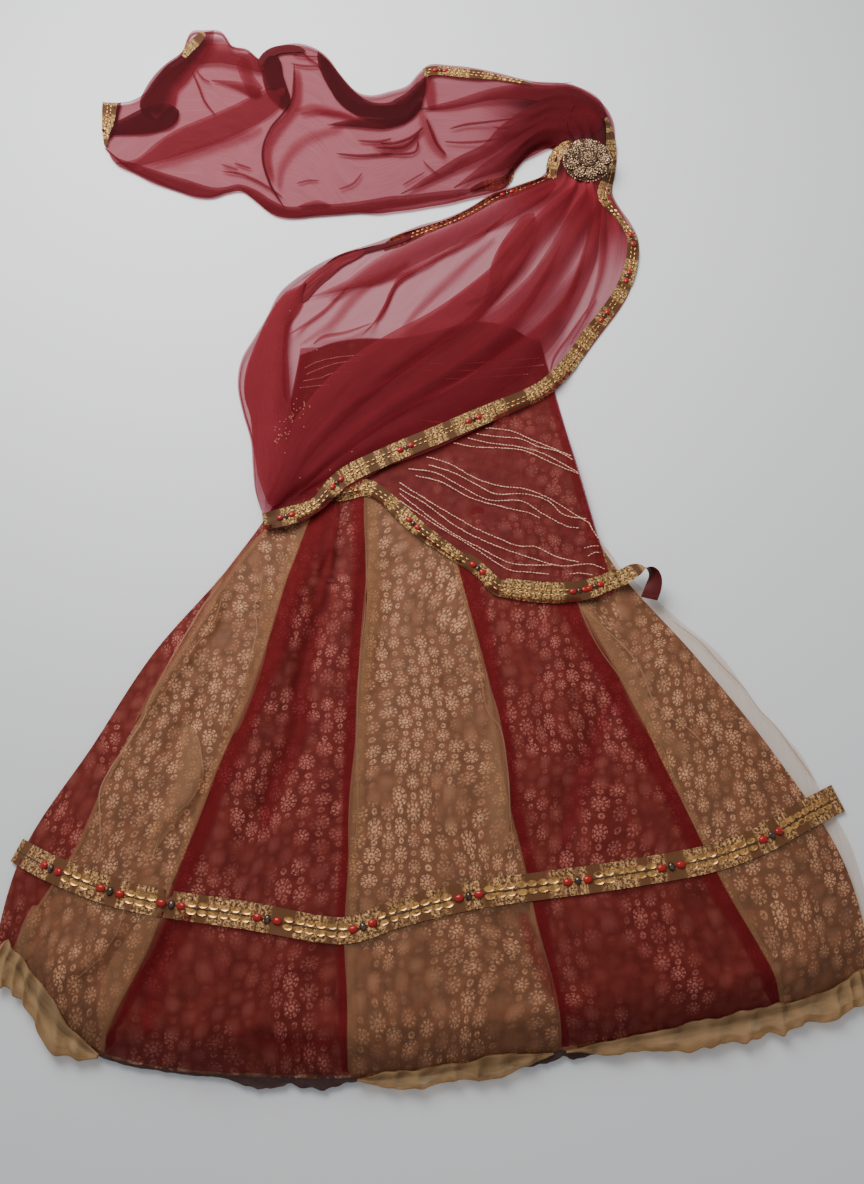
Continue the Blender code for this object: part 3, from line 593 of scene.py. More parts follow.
def sheer_finish(name, thread, tint, cover, weave=0.9, streaks=0.25, deep=1.0, tail=1.0):
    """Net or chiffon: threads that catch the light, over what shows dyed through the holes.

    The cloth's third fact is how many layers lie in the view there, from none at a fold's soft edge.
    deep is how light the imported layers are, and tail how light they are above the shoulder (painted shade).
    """
    finish = Finish(name)
    across, along, layers = finish.split(finish.cloth())
    drawn = finish.node("ShaderNodeCombineXYZ", X=across, Y=finish.times(along, 0.05)).outputs[0]
    streak = finish.minus(finish.noise(drawn, 2.2, 3.0, 0.6), 0.5)
    grain = finish.noise(finish.cloth(), weave, 2.0, 0.6)
    drift = finish.noise(finish.cloth(), 28.0, 2.0)
    shade = finish.mix(drift, shaded(thread, 0.86), [min(1.0, channel * 1.12) for channel in thread])
    drawing = finish.plus(1.0, finish.times(streak, streaks * 4.0))
    layers = finish.times(layers, finish.math("MAXIMUM", drawing, 0.2))
    packed = shaded(thread, deep)
    # Painted shade: packed layers in the tail and rolled rims darken far below the thread's own colour
    if tail != deep:
        spot_x, spot_y = finish.split(finish.here())[:2]
        up = finish.minus(spot_y, finish.times(spot_x, TAIL_SLANT))
        foot = plan_zero.y - TAIL_SLANT * plan_zero.x
        packed = finish.mix(finish.ramp(up, foot + TAIL_SHADE_FROM[0], foot + TAIL_SHADE_FROM[1]), packed,
                            shaded(thread, tail))
        shade = finish.mix(finish.ramp(layers, 0.55, 2.2), shade, packed)
        rolled = finish.ramp(layers, ROLLED_LAYERS - 3.0, ROLLED_LAYERS - 1.0)
        shade = finish.mix(rolled, shade, shaded(thread, 0.3))
    else:
        shade = finish.mix(finish.ramp(layers, 1.3, 4.2), shade, packed)
    finish.principled(Base_Color=shade, Roughness=0.8, Specular_IOR_Level=0.12, Sheen_Weight=0.03)
    finish.bump(grain, 0.12)
    dyes = [finish.math("POWER", channel, layers) for channel in tint]
    tinted = finish.node("ShaderNodeCombineColor", Red=dyes[0], Green=dyes[1], Blue=dyes[2]).outputs[0]
    through = finish.node("ShaderNodeBsdfTransparent", Color=tinted)
    holes = finish.minus(1.0 - cover, finish.times(finish.minus(grain, 0.5), 0.16))
    share = finish.minus(1.0, finish.math("POWER", holes, layers))
    blend = finish.node("ShaderNodeMixShader", Fac=share)
    finish.tree.links.new(through.outputs[0], blend.inputs[1])
    finish.tree.links.new(finish.shader.outputs[0], blend.inputs[2])
    finish.tree.links.new(blend.outputs[0], finish.output.inputs["Surface"])
    return finish.material


MAROON_THREAD = (0.262, 0.0235, 0.0235)
MAROON_TINT = (0.90, 0.72, 0.80)
BEIGE_THREAD = (0.45, 0.245, 0.136)
BEIGE_TINT = (0.98, 0.93, 0.88)
maroon_net = sheer_finish("maroon_net", MAROON_THREAD, MAROON_TINT, 0.29)
beige_net = sheer_finish("beige_net", BEIGE_THREAD, BEIGE_TINT, 0.19)
NETS = {"maroon": maroon_net, "beige": beige_net}


def under_net_point(across, along):
    x, y = skirt_point(0.6 + across * 4.8, 0.08 + along * 0.86)
    top = lining_height(x, y, (0.94 - along * 0.86) * SKIRT_LENGTH)
    middle = lerp(FRONT_LINING_Z, top - CLOTH, 0.5)
    swing = 0.5 * max(0.0, top - CLOTH - FRONT_LINING_Z - 3.0)
    return x, y, middle + swing * 0.8 * math.sin(across * 70.0 + 1.5 * lumps(x, y, 60.0, 7.0))


under_net = one_layer("gathered_under_net", beige_net, ["underskirt"], (150, 40),
                      under_net_point)

# Net gores of the skirt
# Six flared panels of sheer net, maroon and beige in turn, sewn side by side with narrow turnings that
# show as plain bands. The front ones lie in soft folds; the last is cut wider than the lining.

# The main folds, which the solids have too, and the finer creases over them: ends, width and height
Ridge = namedtuple("Ridge", "top_x top_y end_x end_y width height")
RIDGES = (
    Ridge(-185, 60, -300, -215, 17, 4.0), Ridge(-105, 100, -190, -235, 16, 4.5),
    Ridge(-20, 60, -15, -110, 20, 3.0), Ridge(60, -40, 150, -250, 20, 3.0),
    Ridge(185, -40, 305, -230, 20, 3.0), Ridge(-270, -320, -330, -375, 18, 4.0),
    Ridge(-120, -340, -150, -425, 22, 3.5), Ridge(30, -330, 40, -425, 24, 4.0),
    Ridge(190, -300, 215, -395, 22, 3.5),
)
CREASES = (
    Ridge(-88, 118, -150, -150, 5, -3.0), Ridge(-75, 100, -118, -140, 6, 2.5),
    Ridge(-100, 60, -135, -60, 4, 2.2), Ridge(-170, 30, -262, -150, 4, 2.4),
    Ridge(-160, 40, -225, -210, 5, 2.0), Ridge(-205, -60, -300, -280, 5, -2.0),
    Ridge(-160, -190, -230, -330, 6, 2.2), Ridge(-40, -160, 60, -330, 7, 1.8),
    Ridge(20, -60, 75, -300, 6, 1.8), Ridge(55, -180, 80, -420, 5, 2.0), Ridge(-60, -300, -55, -440, 7, 2.2),
    Ridge(160, -20, 262, -170, 5, 2.6), Ridge(200, -90, 330, -270, 5, 2.2),
    Ridge(215, -60, 300, -170, 4, 2.0), Ridge(110, -230, 230, -390, 9, 2.4),
    Ridge(150, -300, 210, -400, 8, -2.4), Ridge(-200, -330, -250, -420, 7, 2.4),
    Ridge(-160, -380, -60, -425, 6, 1.8), Ridge(240, -300, 300, -380, 7, 2.0),
    Ridge(-20, -400, 90, -380, 6, -2.2),
)


def ridge_height(ridge, x, y):
    way_x, way_y = ridge.end_x - ridge.top_x, ridge.end_y - ridge.top_y
    length = math.hypot(way_x, way_y)
    off_x, off_y = x - ridge.top_x, y - ridge.top_y
    along = (off_x * way_x + off_y * way_y) / (length * length)
    if not -0.2 < along < 1.2:
        return 0.0
    bend = 0.1 * length * math.sin(math.pi * along) * (0.5 if ridge.width < 10 else 0.0)
    aside = abs((off_x * way_y - off_y * way_x) / length + bend) / ridge.width
    if aside > 3.0:
        return 0.0
    ends = ease((along + 0.15) / 0.35) * ease((1.15 - along) / 0.35)
    return ridge.height * ends * math.exp(-aside * aside)


def net_level(x, y, to_hem=HEM_ROLL):
    """Top of the skirt's front net where it lies over the lining, as its solid has it."""
    inside = min(x - seam_x(SEAMS[0], y), seam_x(SEAMS[-1], y) - x, to_hem)
    folds = sum(ridge_height(ridge, x, y) for ridge in RIDGES)
    return lining_height(x, y, to_hem) + GAP + CLOTH + folds * ease(inside / 20.0)


def net_surface(x, y, to_hem, gore):
    """The fine net: its solid's form with creases and small waves, drawn in at the garment's edges."""
    lining_x = seam_x(SEAMS[-1], y)
    beyond = ease((x - lining_x) / max(1.0, seam_x(NET_EDGE, y) - lining_x))
    level = net_level(x, y, to_hem)
    inside = min(x - seam_x(SEAMS[0], y), lining_x - x, to_hem)
    detail = sum(ridge_height(crease, x, y) for crease in CREASES)
    detail += 0.9 * lumps(x, y, 34.0, 11.0) + 0.45 * lumps(x, y, 12.0, 12.0)
    level = max(level + ease(inside / 26.0) * (detail + 0.9), lining_height(x, y, to_hem) + 0.9)
    level = lerp(level, BACK_PANEL_Z + 0.7 * CLOTH, beyond)
    edge = min(ease((gore + 0.004) / 0.05), ease(to_hem / 5.0 + 0.02))
    return lerp(BACK_PANEL_Z + 0.8 * CLOTH, level - 0.4 * CLOTH, edge)


GORE_COLUMNS = 34
EDGE_COLUMNS = 8
GORE_ROWS = 170
BAND_COLUMNS = 7
# The turnings narrow from the waist to the hem
BAND_AT_WAIST = 1.05
BAND_TAPER = 0.62
# At the waist the first beige gore laps over the maroon one beside it
WAIST_LAP = 14.0
WAIST_LAP_END = 0.36
# A gore: its net, how wide the turnings on its sides show, its lap over the next ones, and its cut
Gore = namedtuple("Gore", "net left_band right_band lap cut_width cut_area back_area")
GORE_CUTS = (
    Gore("maroon", 0, 0, 0.0, 0.10, 0.018, 0.015), Gore("beige", 8, 12, 3.5, 0.22, 0.069, 0.045),
    Gore("maroon", 28, 18, 0.0, 0.30, 0.104, 0.072), Gore("beige", 18, 6, 3.5, 0.27, 0.098, 0.074),
    Gore("maroon", 22, 32, 0.0, 0.31, 0.118, 0.078), Gore("beige", 13, 0, 2.0, 0.22, 0.076, 0.049),
)


def gore_share(gore, share, lap):
    """Plan point of a net gore whose edge waves a little past its seam."""
    if gore > GORES:
        gore = lerp(GORES, gore, 0.66 + 0.12 * lumps(share * 9.0, 2.0, 1.0, 22.0))
    x, y = skirt_point(gore, share)
    return x + lap * (0.4 + 0.9 * lumps(share * 6.0, round(gore), 1.0, 21.0)), y


def make_gore(index, cut):
    outermost = index == GORES - 1
    columns = GORE_COLUMNS + (EDGE_COLUMNS if outermost else 0)
    last = GORES + 1 if outermost else index + 1
    above = 0.5 if cut.net == "beige" else 0.0

    def point(across, along):
        gore = lerp(index, last, across)
        lap = -cut.lap * ease(1.0 - across * 9.0) + (0.0 if outermost else cut.lap * ease(across * 9.0 - 8.0))
        if index == 1:
            lap -= WAIST_LAP * ease(1.0 - across * 3.0) * ease((WAIST_LAP_END - along) / 0.12)
        x, y = gore_share(gore, along, lap)
        x = max(x, seam_x(SEAMS[0], y))
        return x, y, net_surface(x, y, (1.0 - along) * SKIRT_LENGTH, gore) + above

    bm = bmesh.new()
    add_grid(bm, columns, GORE_ROWS, point)
    for side, width in ((0, cut.left_band), (1, cut.right_band)):
        if not width:
            continue
        for layer in (1, 2):
            def band(across, along, side=side, width=width, layer=layer):
                along = 0.02 + 0.975 * along
                x, y = gore_share(index + side, along, cut.lap * (2 * side - 1))
                waver = 0.12 * lumps(along * 7.0, index + side, 1.0, 31.0)
                inner = width * (BAND_AT_WAIST - BAND_TAPER * along + waver)
                x += inner * (across if side == 0 else across - 1.0)
                gore = index + side + (0.1 if side == 0 else -0.1)
                return x, y, net_surface(x, y, (1.0 - along) * SKIRT_LENGTH, gore) + above - 0.3 * layer

            def band_facts(across, along, side=side, width=width):
                inwards = across if side == 0 else 1.0 - across
                return across * width, along * 560.0, ease((1.0 - inwards) / 0.4)
            add_grid(bm, BAND_COLUMNS, GORE_ROWS // 2, band, band_facts)
    gore = put_on(made_from(bm, f"net_gore_{index + 1}"), NETS[cut.net],
                  [f"skirt_front_{index + 1}"])
    return gore


net_gores = [make_gore(index, cut) for index, cut in enumerate(GORE_CUTS)]

for index, cut in enumerate(GORE_CUTS):
    def back_gore(across, along, index=index):
        x, y = skirt_point(index + across, along)
        return x, y, BACK_PANEL_Z + 0.5 * CLOTH
    gore = one_layer(f"back_gore_{index + 1}", NETS[cut.net], [f"skirt_back_{index + 1}"],
                     (8, 40), back_gore)

# Frills along the hem
# Strips of a denser pale gold net gathered into the hem. Three stretches of them show, in pleats that roll
# over the hem on their inner side and stick out past it on the outer one.

# A frill: where it starts and ends in gores, its reach past the hem, its rise over the net, its pleats
Frill = namedtuple("Frill", "node start end reach rise waves layers cut_length cut_width")
FRILLS = (
    Frill("hem_frill_left", 0.55, 1.97, 25, 22, 8, 2.6, 0.13, 0.050),
    Frill("hem_frill_centre", 3.03, 3.97, 11, 8, 7, 1.6, 0.17, 0.022),
    Frill("hem_frill_right", 4.03, 6.80, 19, 10, 15, 1.9, 0.31, 0.036),
)
FRILL_HEIGHT = 6.5
frill_net = sheer_finish("frill_net", (0.45, 0.28, 0.14), (0.90, 0.78, 0.62), 0.38, streaks=0.3)


def make_frill(frill):
    def shape(across):
        gore = lerp(frill.start, frill.end, across)
        x, y = skirt_point(gore, 1.0)
        fade = min(1.0, 5.0 * across, 5.0 * (1.0 - across))
        phase = 2.0 * math.pi * frill.waves * across + 1.8 * lumps(x, 0.0, 34.0, 41.0)
        return gore, x, y, fade, math.sin(phase), math.cos(phase)

    def point(across, along):
        gore, x, y, fade, wave, lean = shape(across)
        puff = 0.88 + 0.30 * lumps(x, 0.0, 34.0, 43.0) + 0.14 * lumps(x, 0.0, 12.0, 49.0)
        puff *= 0.1 + 0.9 * fade
        inward = frill.rise * puff * (0.9 + 0.35 * lumps(x, 3.0, 28.0, 46.0))
        side = lerp(-inward, frill.reach * min(1.05, puff), ease(along / 0.8))
        side -= 0.3 * frill.reach * ease((along - 0.8) / 0.2)
        share = 1.0 + min(0.0, side) / SKIRT_LENGTH
        x, y = skirt_point(gore, share)
        x += 1.1 * lean * ease(along * 3.0) * fade
        y -= max(0.0, side)
        round_over = math.sin(math.pi * clamp(along * 1.05))
        pleat = (0.5 + 0.5 * wave) * (0.45 + 0.55 * fade)
        crumple = 1.8 * lumps(x, side, 10.0, 44.0) + 0.7 * lumps(x, side, 4.5, 47.0)
        over = round_over * (FRILL_HEIGHT * (0.35 + 0.65 * pleat) + crumple)
        top = net_level(x, y, max(0.0, -side)) + 0.5 + over
        return x, y, max(top - 4.5 * ease((along - 0.75) / 0.25), 3.2 + 0.6 * pleat)

    def facts(across, along):
        gore, x, y, fade, wave, lean = shape(across)
        pleats = 1.0 + 0.3 * lean + 0.3 * lumps(x, along * 20.0, 8.0, 48.0)
        start = ease(along / 0.12)
        return along * frill.reach * 2.2, across * frill.waves * 22.0, frill.layers * pleats * start

    piece = one_layer(frill.node.replace("hem_", ""), frill_net, [frill.node],
                      (frill.waves * 16, 18), point, facts)


for frill in FRILLS:
    make_frill(frill)

# Doubled net on the skirt
# The gores' turnings and folded-over parts, where two or three layers of the net lie on each other. Their
# rolled edges show as pale wavy lines. Each is a path over the picture, in its pixels: the strip's middle
# across and down, and its width. The camera's rays carry it down onto the cloth.


def surface_of(*pieces):
    corners = []
    faces = []
    for piece in pieces:
        first = len(corners)
        corners += [vert.co.copy() for vert in piece.data.vertices]
        faces += [[first + corner for corner in face.vertices] for face in piece.data.polygons]
    return BVHTree.FromPolygons(corners, faces)


def seen_on(surface, across, down, beside=2.0):
    """Plan point of the cloth that the camera sees at a place of the picture; beside it, of a height."""
    ray = Vector(((across - 0.5 * PICTURE[0]) / FOCAL, (0.5 * PICTURE[1] - down) / FOCAL, -1.0))
    ray.rotate(camera.rotation_euler)
    hit = surface.ray_cast(camera.location, ray.normalized())[0] if surface else None
    if hit is None:
        hit = camera.location + ray * ((camera.location.z - beside * MM) / -ray.z)
    return (hit - plan_zero) / MM


# A fold: how many layers it adds, how full its left and right sides are, and its path
Fold = namedtuple("Fold", "layers left right path")


def lay_strip(bm, surface, path, lift, columns=4, step=4.0, dome=0.0, layers=-1.0, beside=2.0, taper=0.0,
              left=1.0, right=1.0):
    """Lays one layer along a path and returns its run: middle, way across, length so far.

    layers is how many layers of net it stands for, less towards a side set softer than 1; or -1 for ribbon.
    """
    stations = walk(path, step)
    run = []
    length = 0.0
    for across, down, half, aside in stations:
        middle = seen_on(surface, across, down, beside)
        edge = seen_on(surface, across + aside.x * half, down + aside.y * half, beside)
        middle.z += lift
        if run:
            length += (middle - run[-1][0]).length
        run.append((middle, Vector((edge.x - middle.x, edge.y - middle.y, 0.0)), length))
    rows = len(stations) - 1

    def point(across, along):
        x, y, half, aside = stations[round(along * rows)]
        if taper:
            half *= math.sqrt(clamp(along / taper) * clamp((1.0 - along) / taper) + 0.0004)
        side = 2.0 * across - 1.0
        spot = seen_on(surface, x + aside.x * half * side, y + aside.y * half * side, beside)
        return spot.x, spot.y, spot.z + lift + dome * (1.0 - side * side)

    def facts(across, along):
        middle, aside, length = run[round(along * rows)]
        if layers < 0.0:
            return (2.0 * across - 1.0) * aside.length, length, 0.0
        soft = lerp(right, 1.0, ease(across / 0.45)) * lerp(left, 1.0, ease((1.0 - across) / 0.45))
        if taper:
            soft *= lerp(min(left, right), 1.0, ease(along / taper) * ease((1.0 - along) / taper))
        return path[0][0] + (2.0 * across - 1.0) * aside.length, path[0][1] + length, layers * soft

    add_grid(bm, columns, rows, point, facts)
    return run


skirt_cloth = surface_of(*net_gores)
DOUBLED_BEIGE = (
    Fold(1.6, 1, 0, (
        (578, 605, 2), (590, 622, 14), (606, 645, 18), (625, 672, 20), (640, 705, 22), (655, 728, 22),
        (672, 748, 20), (694, 764, 8))),
    Fold(2.2, 1, 0, (
        (182, 722, 12), (188, 742, 24), (187, 765, 30), (184, 785, 30), (174, 803, 28), (163, 822, 22),
        (150, 845, 16), (142, 862, 10))),
    Fold(1.3, 0.5, 1, (
        (262, 570, 6), (266, 600, 11), (264, 630, 12), (259, 655, 13), (252, 680, 13), (243, 705, 12),
        (233, 735, 8))),
    Fold(1.4, 0.5, 0.5, (
        (223, 575, 6), (212, 600, 10), (192, 634, 10), (172, 666, 9), (150, 700, 8), (135, 726, 5))),
    Fold(2.0, 1, 0.3, (
        (485, 664, 1), (489, 690, 5), (493, 715, 12), (494, 740, 19), (495, 775, 26), (496, 815, 28),
        (494, 858, 26))),
    Fold(1.0, 0, 1, (
        (372, 560, 8), (368, 610, 10), (364, 660, 10), (362, 720, 10), (362, 790, 10), (364, 858, 9))),
    Fold(2.2, 1, 1, (
        (672, 621, 1.3), (700, 642, 1.5), (719, 663, 1.5), (742, 686, 1.5), (759, 710, 1.5), (775, 726, 1.5),
        (794, 752, 1.5), (817, 784, 1.3))),
    Fold(1.8, 0.3, 1, ((40, 905, 12), (30, 925, 14), (24, 945, 14), (24, 962, 12))),
    Fold(1.5, 0.2, 1, (
        (166, 905, 14), (152, 925, 24), (138, 948, 30), (122, 972, 30), (112, 1000, 26), (104, 1036, 12))),
)
PALE_EDGES = (
    Fold(3.5, 1, 1, (
        (222, 580, 1.2), (214, 592, 1.3), (203, 606, 1.3), (189, 629, 1.3), (175, 652, 1.3), (159, 682, 1.3),
        (148, 703, 1.4), (144, 718, 1.4), (127, 745, 1.4), (111, 768, 1.4), (100, 791, 1.4), (100, 814, 1.4),
        (101, 845, 1.4))),
    Fold(3.0, 1, 1, (
        (222, 598, 1.0), (214, 622, 1.3), (194, 648, 1.3), (182, 668, 1.3), (168, 688, 1.2),
        (146, 720, 1.0))),
    Fold(3.0, 1, 1, (
        (263, 569, 1.0), (261, 588, 1.2), (255, 606, 1.2), (257, 629, 1.2), (251, 657, 1.3), (247, 675, 1.3),
        (240, 694, 1.3), (226, 717, 1.3), (221, 738, 1.0))),
    Fold(3.2, 1, 1, (
        (199, 740, 1.0), (203, 767, 1.3), (202, 781, 1.3), (191, 800, 1.4), (175, 816, 1.4), (161, 833, 1.4),
        (151, 866, 1.2))),
    Fold(2.6, 1, 1, (
        (452, 575, 1.0), (468, 612, 1.2), (478, 658, 1.2), (487, 709, 1.3), (501, 730, 1.3), (508, 774, 1.3),
        (511, 822, 1.3), (516, 858, 1.2))),
    Fold(3.0, 1, 1, (
        (579, 607, 1.0), (595, 619, 1.2), (609, 633, 1.2), (628, 651, 1.3), (642, 672, 1.3), (653, 700, 1.3),
        (670, 717, 1.4), (691, 731, 1.3), (710, 752, 1.0))),
    Fold(2.4, 1, 1, (
        (578, 604, 1.0), (597, 645, 1.0), (625, 684, 1.0), (650, 722, 1.0), (666, 758, 1.0), (685, 805, 1.1),
        (706, 850, 1.1))),
    Fold(3.0, 1, 1, ((125, 905, 1.2), (118, 930, 1.3), (100, 958, 1.3), (80, 976, 1.3), (66, 990, 1.2))),
    Fold(2.2, 1, 1, (
        (366, 540, 1.3), (366, 600, 1.0), (360, 660, 1.0), (357, 740, 1.1), (358, 800, 1.1),
        (355, 860, 1.1))),
)
DOUBLED_MAROON = (
    Fold(1.2, 0.3, 0.3, (
        (333, 545, 8), (326, 572, 16), (312, 629, 22), (301, 675, 24), (299, 721, 24), (288, 756, 22),
        (271, 791, 20), (262, 835, 12))),
    Fold(1.5, 1, 0.2, ((336, 500, 3), (334, 525, 9), (326, 550, 10), (318, 572, 5))),
    Fold(1.0, 0, 0, ((192, 908, 12), (176, 938, 26), (159, 968, 30), (151, 1000, 28), (146, 1035, 16))),
    Fold(0.8, 0, 0, ((612, 700, 10), (592, 745, 26), (577, 795, 30), (562, 850, 14))),
    Fold(0.8, 0, 0, ((236, 1034, 8), (285, 1044, 26), (340, 1042, 10))),
    Fold(0.7, 0, 0, ((520, 910, 10), (535, 950, 24), (560, 1000, 20), (590, 1020, 8))),
)
edge_net = sheer_finish("rolled_net_edge", (0.50, 0.29, 0.17), (0.9, 0.8, 0.7), 0.2, streaks=0.4)


def double_net(name, folds, material, columns, dome):
    bm = bmesh.new()
    for index, fold in enumerate(folds):
        lay_strip(bm, skirt_cloth, fold.path, 0.35 + 0.1 * (index % 4), columns=columns, step=5.0, dome=dome,
                  layers=fold.layers, beside=5.0, taper=0.07, left=fold.left, right=fold.right)
    return put_on(made_from(bm, name), material)


folded_beige = double_net("doubled_beige_net", DOUBLED_BEIGE, beige_net, 8, 0.6)
folded_maroon = double_net("doubled_maroon_net", DOUBLED_MAROON, maroon_net, 8, 0.6)
rolled_edges = double_net("rolled_net_edges", PALE_EDGES, edge_net, 2, 0.3)

# Skirt's trim
# A wide woven metallic ribbon round the skirt, about a hand's width over the hem, sewn on flat over the
# nets. Stretches of crushed gold foil alternate with plain bronze satin, and down its middle run a dark
# cord, gold sequins in pairs and beads in threes.
RIBBON_BARS = 9.8


def ribbon_finish(name, gold, bronze, block, grain):
    finish = Finish(name)
    across, along, back = finish.split(finish.cloth())
    line = finish.node("ShaderNodeCombineXYZ", X=along).outputs[0]
    blocks = finish.ramp(finish.noise(line, block, 1.0), 0.44, 0.52)
    place_on = finish.node("ShaderNodeCombineXYZ", X=across, Y=along).outputs[0]
    foil = finish.ramp(finish.noise(place_on, grain, 3.0, 0.75), 0.40, 0.64)
    bars = finish.math("COSINE", finish.times(along, 2.0 * math.pi / RIBBON_BARS))
    foil = finish.times(foil, finish.plus(0.35, finish.times(finish.ramp(bars, -1.0, -0.5), 0.65)))
    streak = finish.node("ShaderNodeCombineXYZ", X=across, Y=finish.times(along, 6.0)).outputs[0]
    weave = finish.noise(streak, 3.0, 2.0)
    satin = finish.mix(weave, shaded(bronze, 0.55), shaded(bronze, 1.3))
    crushed = finish.mix(foil, shaded(bronze, 0.5), gold)
    face = finish.mix(blocks, satin, crushed)
    back_cloth = finish.mix(weave, (0.075, 0.010, 0.012), (0.13, 0.022, 0.022))
    finish.principled(Base_Color=finish.mix(back, face, back_cloth), Roughness=0.5, Specular_IOR_Level=0.08)
    shine = finish.times(foil, blocks)
    finish.principled(Metallic=finish.times(finish.minus(1.0, back), finish.times(shine, 0.55)))
    finish.bump(shine, 0.35)
    return finish.material


SKIRT_GOLD = (1.0, 0.55, 0.24)
SKIRT_BRONZE = (0.165, 0.070, 0.032)
skirt_ribbon = ribbon_finish("skirt_ribbon", SKIRT_GOLD, SKIRT_BRONZE, 26.0, 2.5)
SKIRT_RIBBON_PATH = (
    (17, 850, 26), (50, 868, 27), (100, 888, 28), (140, 899, 28), (180, 906, 28), (250, 916, 28),
    (320, 929, 27), (355, 929, 27), (400, 913, 28), (470, 896, 28), (540, 886, 28), (620, 875, 28),
    (700, 861, 28), (740, 849, 28), (770, 836, 28), (800, 818, 29), (838, 798, 30),
)
SKIRT_RIBBON_WIDTH = 26.0
SKIRT_RIBBON_LENGTH = 940.0


def sew_on(name, material, nodes, surface, path, lift, columns, step=4.0):
    """Lays a ribbon as a piece of its own, and returns it with its run."""
    bm = bmesh.new()
    run = lay_strip(bm, surface, path, lift, columns=columns, step=step)
    return put_on(made_from(bm, name), material, nodes), run


skirt_trim, skirt_run = sew_on("skirt_trim", skirt_ribbon, ["skirt_trim_front"], skirt_cloth,
                               SKIRT_RIBBON_PATH, 0.8, 6, 5.0)


def skirt_back_trim(across, along):
    gore = 0.01 + across * (GORES - 0.02)
    middle = smooth([seam.trim_at for seam in FRONT_SEAMS], gore / (len(FRONT_SEAMS) - 1))
    x, y = skirt_point(gore, middle + (along - 0.5) * SKIRT_RIBBON_WIDTH / SKIRT_LENGTH)
    return x, y, 0.5 * RIBBON


def back_trim_facts(across, along):
    return (along - 0.5) * SKIRT_RIBBON_WIDTH, across * SKIRT_RIBBON_LENGTH, 0.0


back_trim = one_layer("skirt_back_trim", skirt_ribbon, ["skirt_trim_back"], (180, 2),
                      skirt_back_trim, back_trim_facts)


def at_length(run, length):
    """Middle, unit way across and unit way along of a laid strip at a length along it."""
    for (here, aside, start), (there, _, end) in zip(run, run[1:]):
        if start <= length <= end:
            share = (length - start) / max(end - start, 0.001)
            return lerp(here, there, share), aside.normalized(), (there - here).normalized()
    return None


def add_alone(add_shape, **settings):
    """Adds a plain shape with nothing else selected."""
    bpy.ops.object.select_all(action="DESELECT")
    add_shape(**settings)
    return bpy.context.object


def select_where(piece, wanted, kind="VERT"):
    """Leaves the piece in edit mode with those corners or faces selected that a test picks."""
    bpy.ops.object.mode_set(mode="EDIT")
    bpy.ops.mesh.select_mode(type=kind)
    bpy.ops.mesh.select_all(action="DESELECT")
    bpy.ops.object.mode_set(mode="OBJECT")
    for part in piece.data.vertices if kind == "VERT" else piece.data.polygons:
        part.select = wanted(part)
    bpy.ops.object.mode_set(mode="EDIT")


def shape_from(piece):
    """Takes a shaped piece out of the scene and keeps its mesh, to be set down many times."""
    bpy.ops.object.mode_set(mode="OBJECT")
    shape = piece.data
    bpy.data.objects.remove(piece)
    return shape


def set_down(bm, shape, spot, along, across, size):
    """One more copy of a small shape, its X along a run, sized in millimetres."""
    first = len(bm.verts)
    bm.from_mesh(shape)
    bm.verts.ensure_lookup_table()
    up = along.cross(across).normalized()
    if up.z < 0.0:
        up = -up
    turn = Matrix((along * size[0], up.cross(along).normalized() * size[1], up * size[2])).transposed()
    for vert in bm.verts[first:]:
        vert.co = place(*(spot + turn @ vert.co))


# Its middle: a dark cord, pairs of gold sequins sewn along it, and beads between the groups, which stand
# at these places across the picture
BEAD_GROUPS = (54, 118, 178, 271, 366, 467, 576, 672, 772)
BEAD_SPACE = 9.0
SEQUINS_AFTER = 19.0
SEQUINS_BEFORE = 18.0
SEQUIN_PITCH = 9.8
SEQUIN_ASIDE = 3.22
CORD_PITCH = 4.6
Finding = namedtuple("Finding", "name colour rough metal size")
FINDINGS = (
    Finding("red_beads", (0.42, 0.012, 0.010), 0.2, 0.0, (4.8, 3.6, 2.4)),
    Finding("dark_beads", (0.20, 0.13, 0.10), 0.2, 0.8, (2.7, 3.4, 2.2)),
    Finding("gold_sequins", (1.0, 0.52, 0.17), 0.32, 0.85, (4.6, 2.5, 0.8)),
    Finding("gold_dashes", (1.0, 0.52, 0.19), 0.36, 0.9, (2.7, 0.95, 0.6)),
    Finding("seed_beads", (0.50, 0.14, 0.10), 0.3, 0.3, (0.95, 0.85, 0.7)),
    Finding("ribbon_cord", (0.07, 0.04, 0.022), 0.6, 0.0, (2.6, 0.7, 0.5)),
)
sewn = {finding.name: bmesh.new() for finding in FINDINGS}
sizes = {finding.name: finding.size for finding in FINDINGS}
# A bead is a ball with its ends cut off where the hole is; a sequin is a small dished disc
BEAD_HOLE = 0.86
bead = add_alone(bpy.ops.mesh.primitive_uv_sphere_add, segments=8, ring_count=5, radius=1.0)
for end in (-1.0, 1.0):
    bpy.ops.object.mode_set(mode="EDIT")
    bpy.ops.mesh.select_all(action="SELECT")
    bpy.ops.mesh.bisect(plane_co=(BEAD_HOLE * end, 0.0, 0.0), plane_no=(end, 0.0, 0.0), use_fill=True,
                        clear_outer=True)
bead_shape = shape_from(bead)
sequin = add_alone(bpy.ops.mesh.primitive_cylinder_add, vertices=12, radius=1.0, depth=1.0)
select_where(sequin, lambda face: face.normal.z > 0.9, "FACE")
bpy.ops.mesh.inset(thickness=0.4)
bpy.ops.transform.translate(value=(0.0, 0.0, -0.55))
sequin_shape = shape_from(sequin)


def sew(name, run, length, aside=0.0, scale=1.0, lift=0.3):
    spot = at_length(run, length)
    if spot is None:
        return
    middle, across, along = spot
    shape = sequin_shape if name == "gold_sequins" else bead_shape
    set_down(sewn[name], shape, middle + across * aside + Vector((0.0, 0.0, lift)), along, across,
             [side * scale for side in sizes[name]])


def length_at(run, across):
    """Length along a run where it stands nearest to a place across the picture."""
    return min(run, key=lambda station: abs(station[0].x - seen_on(None, across, 880.0, 20.0).x))[2]


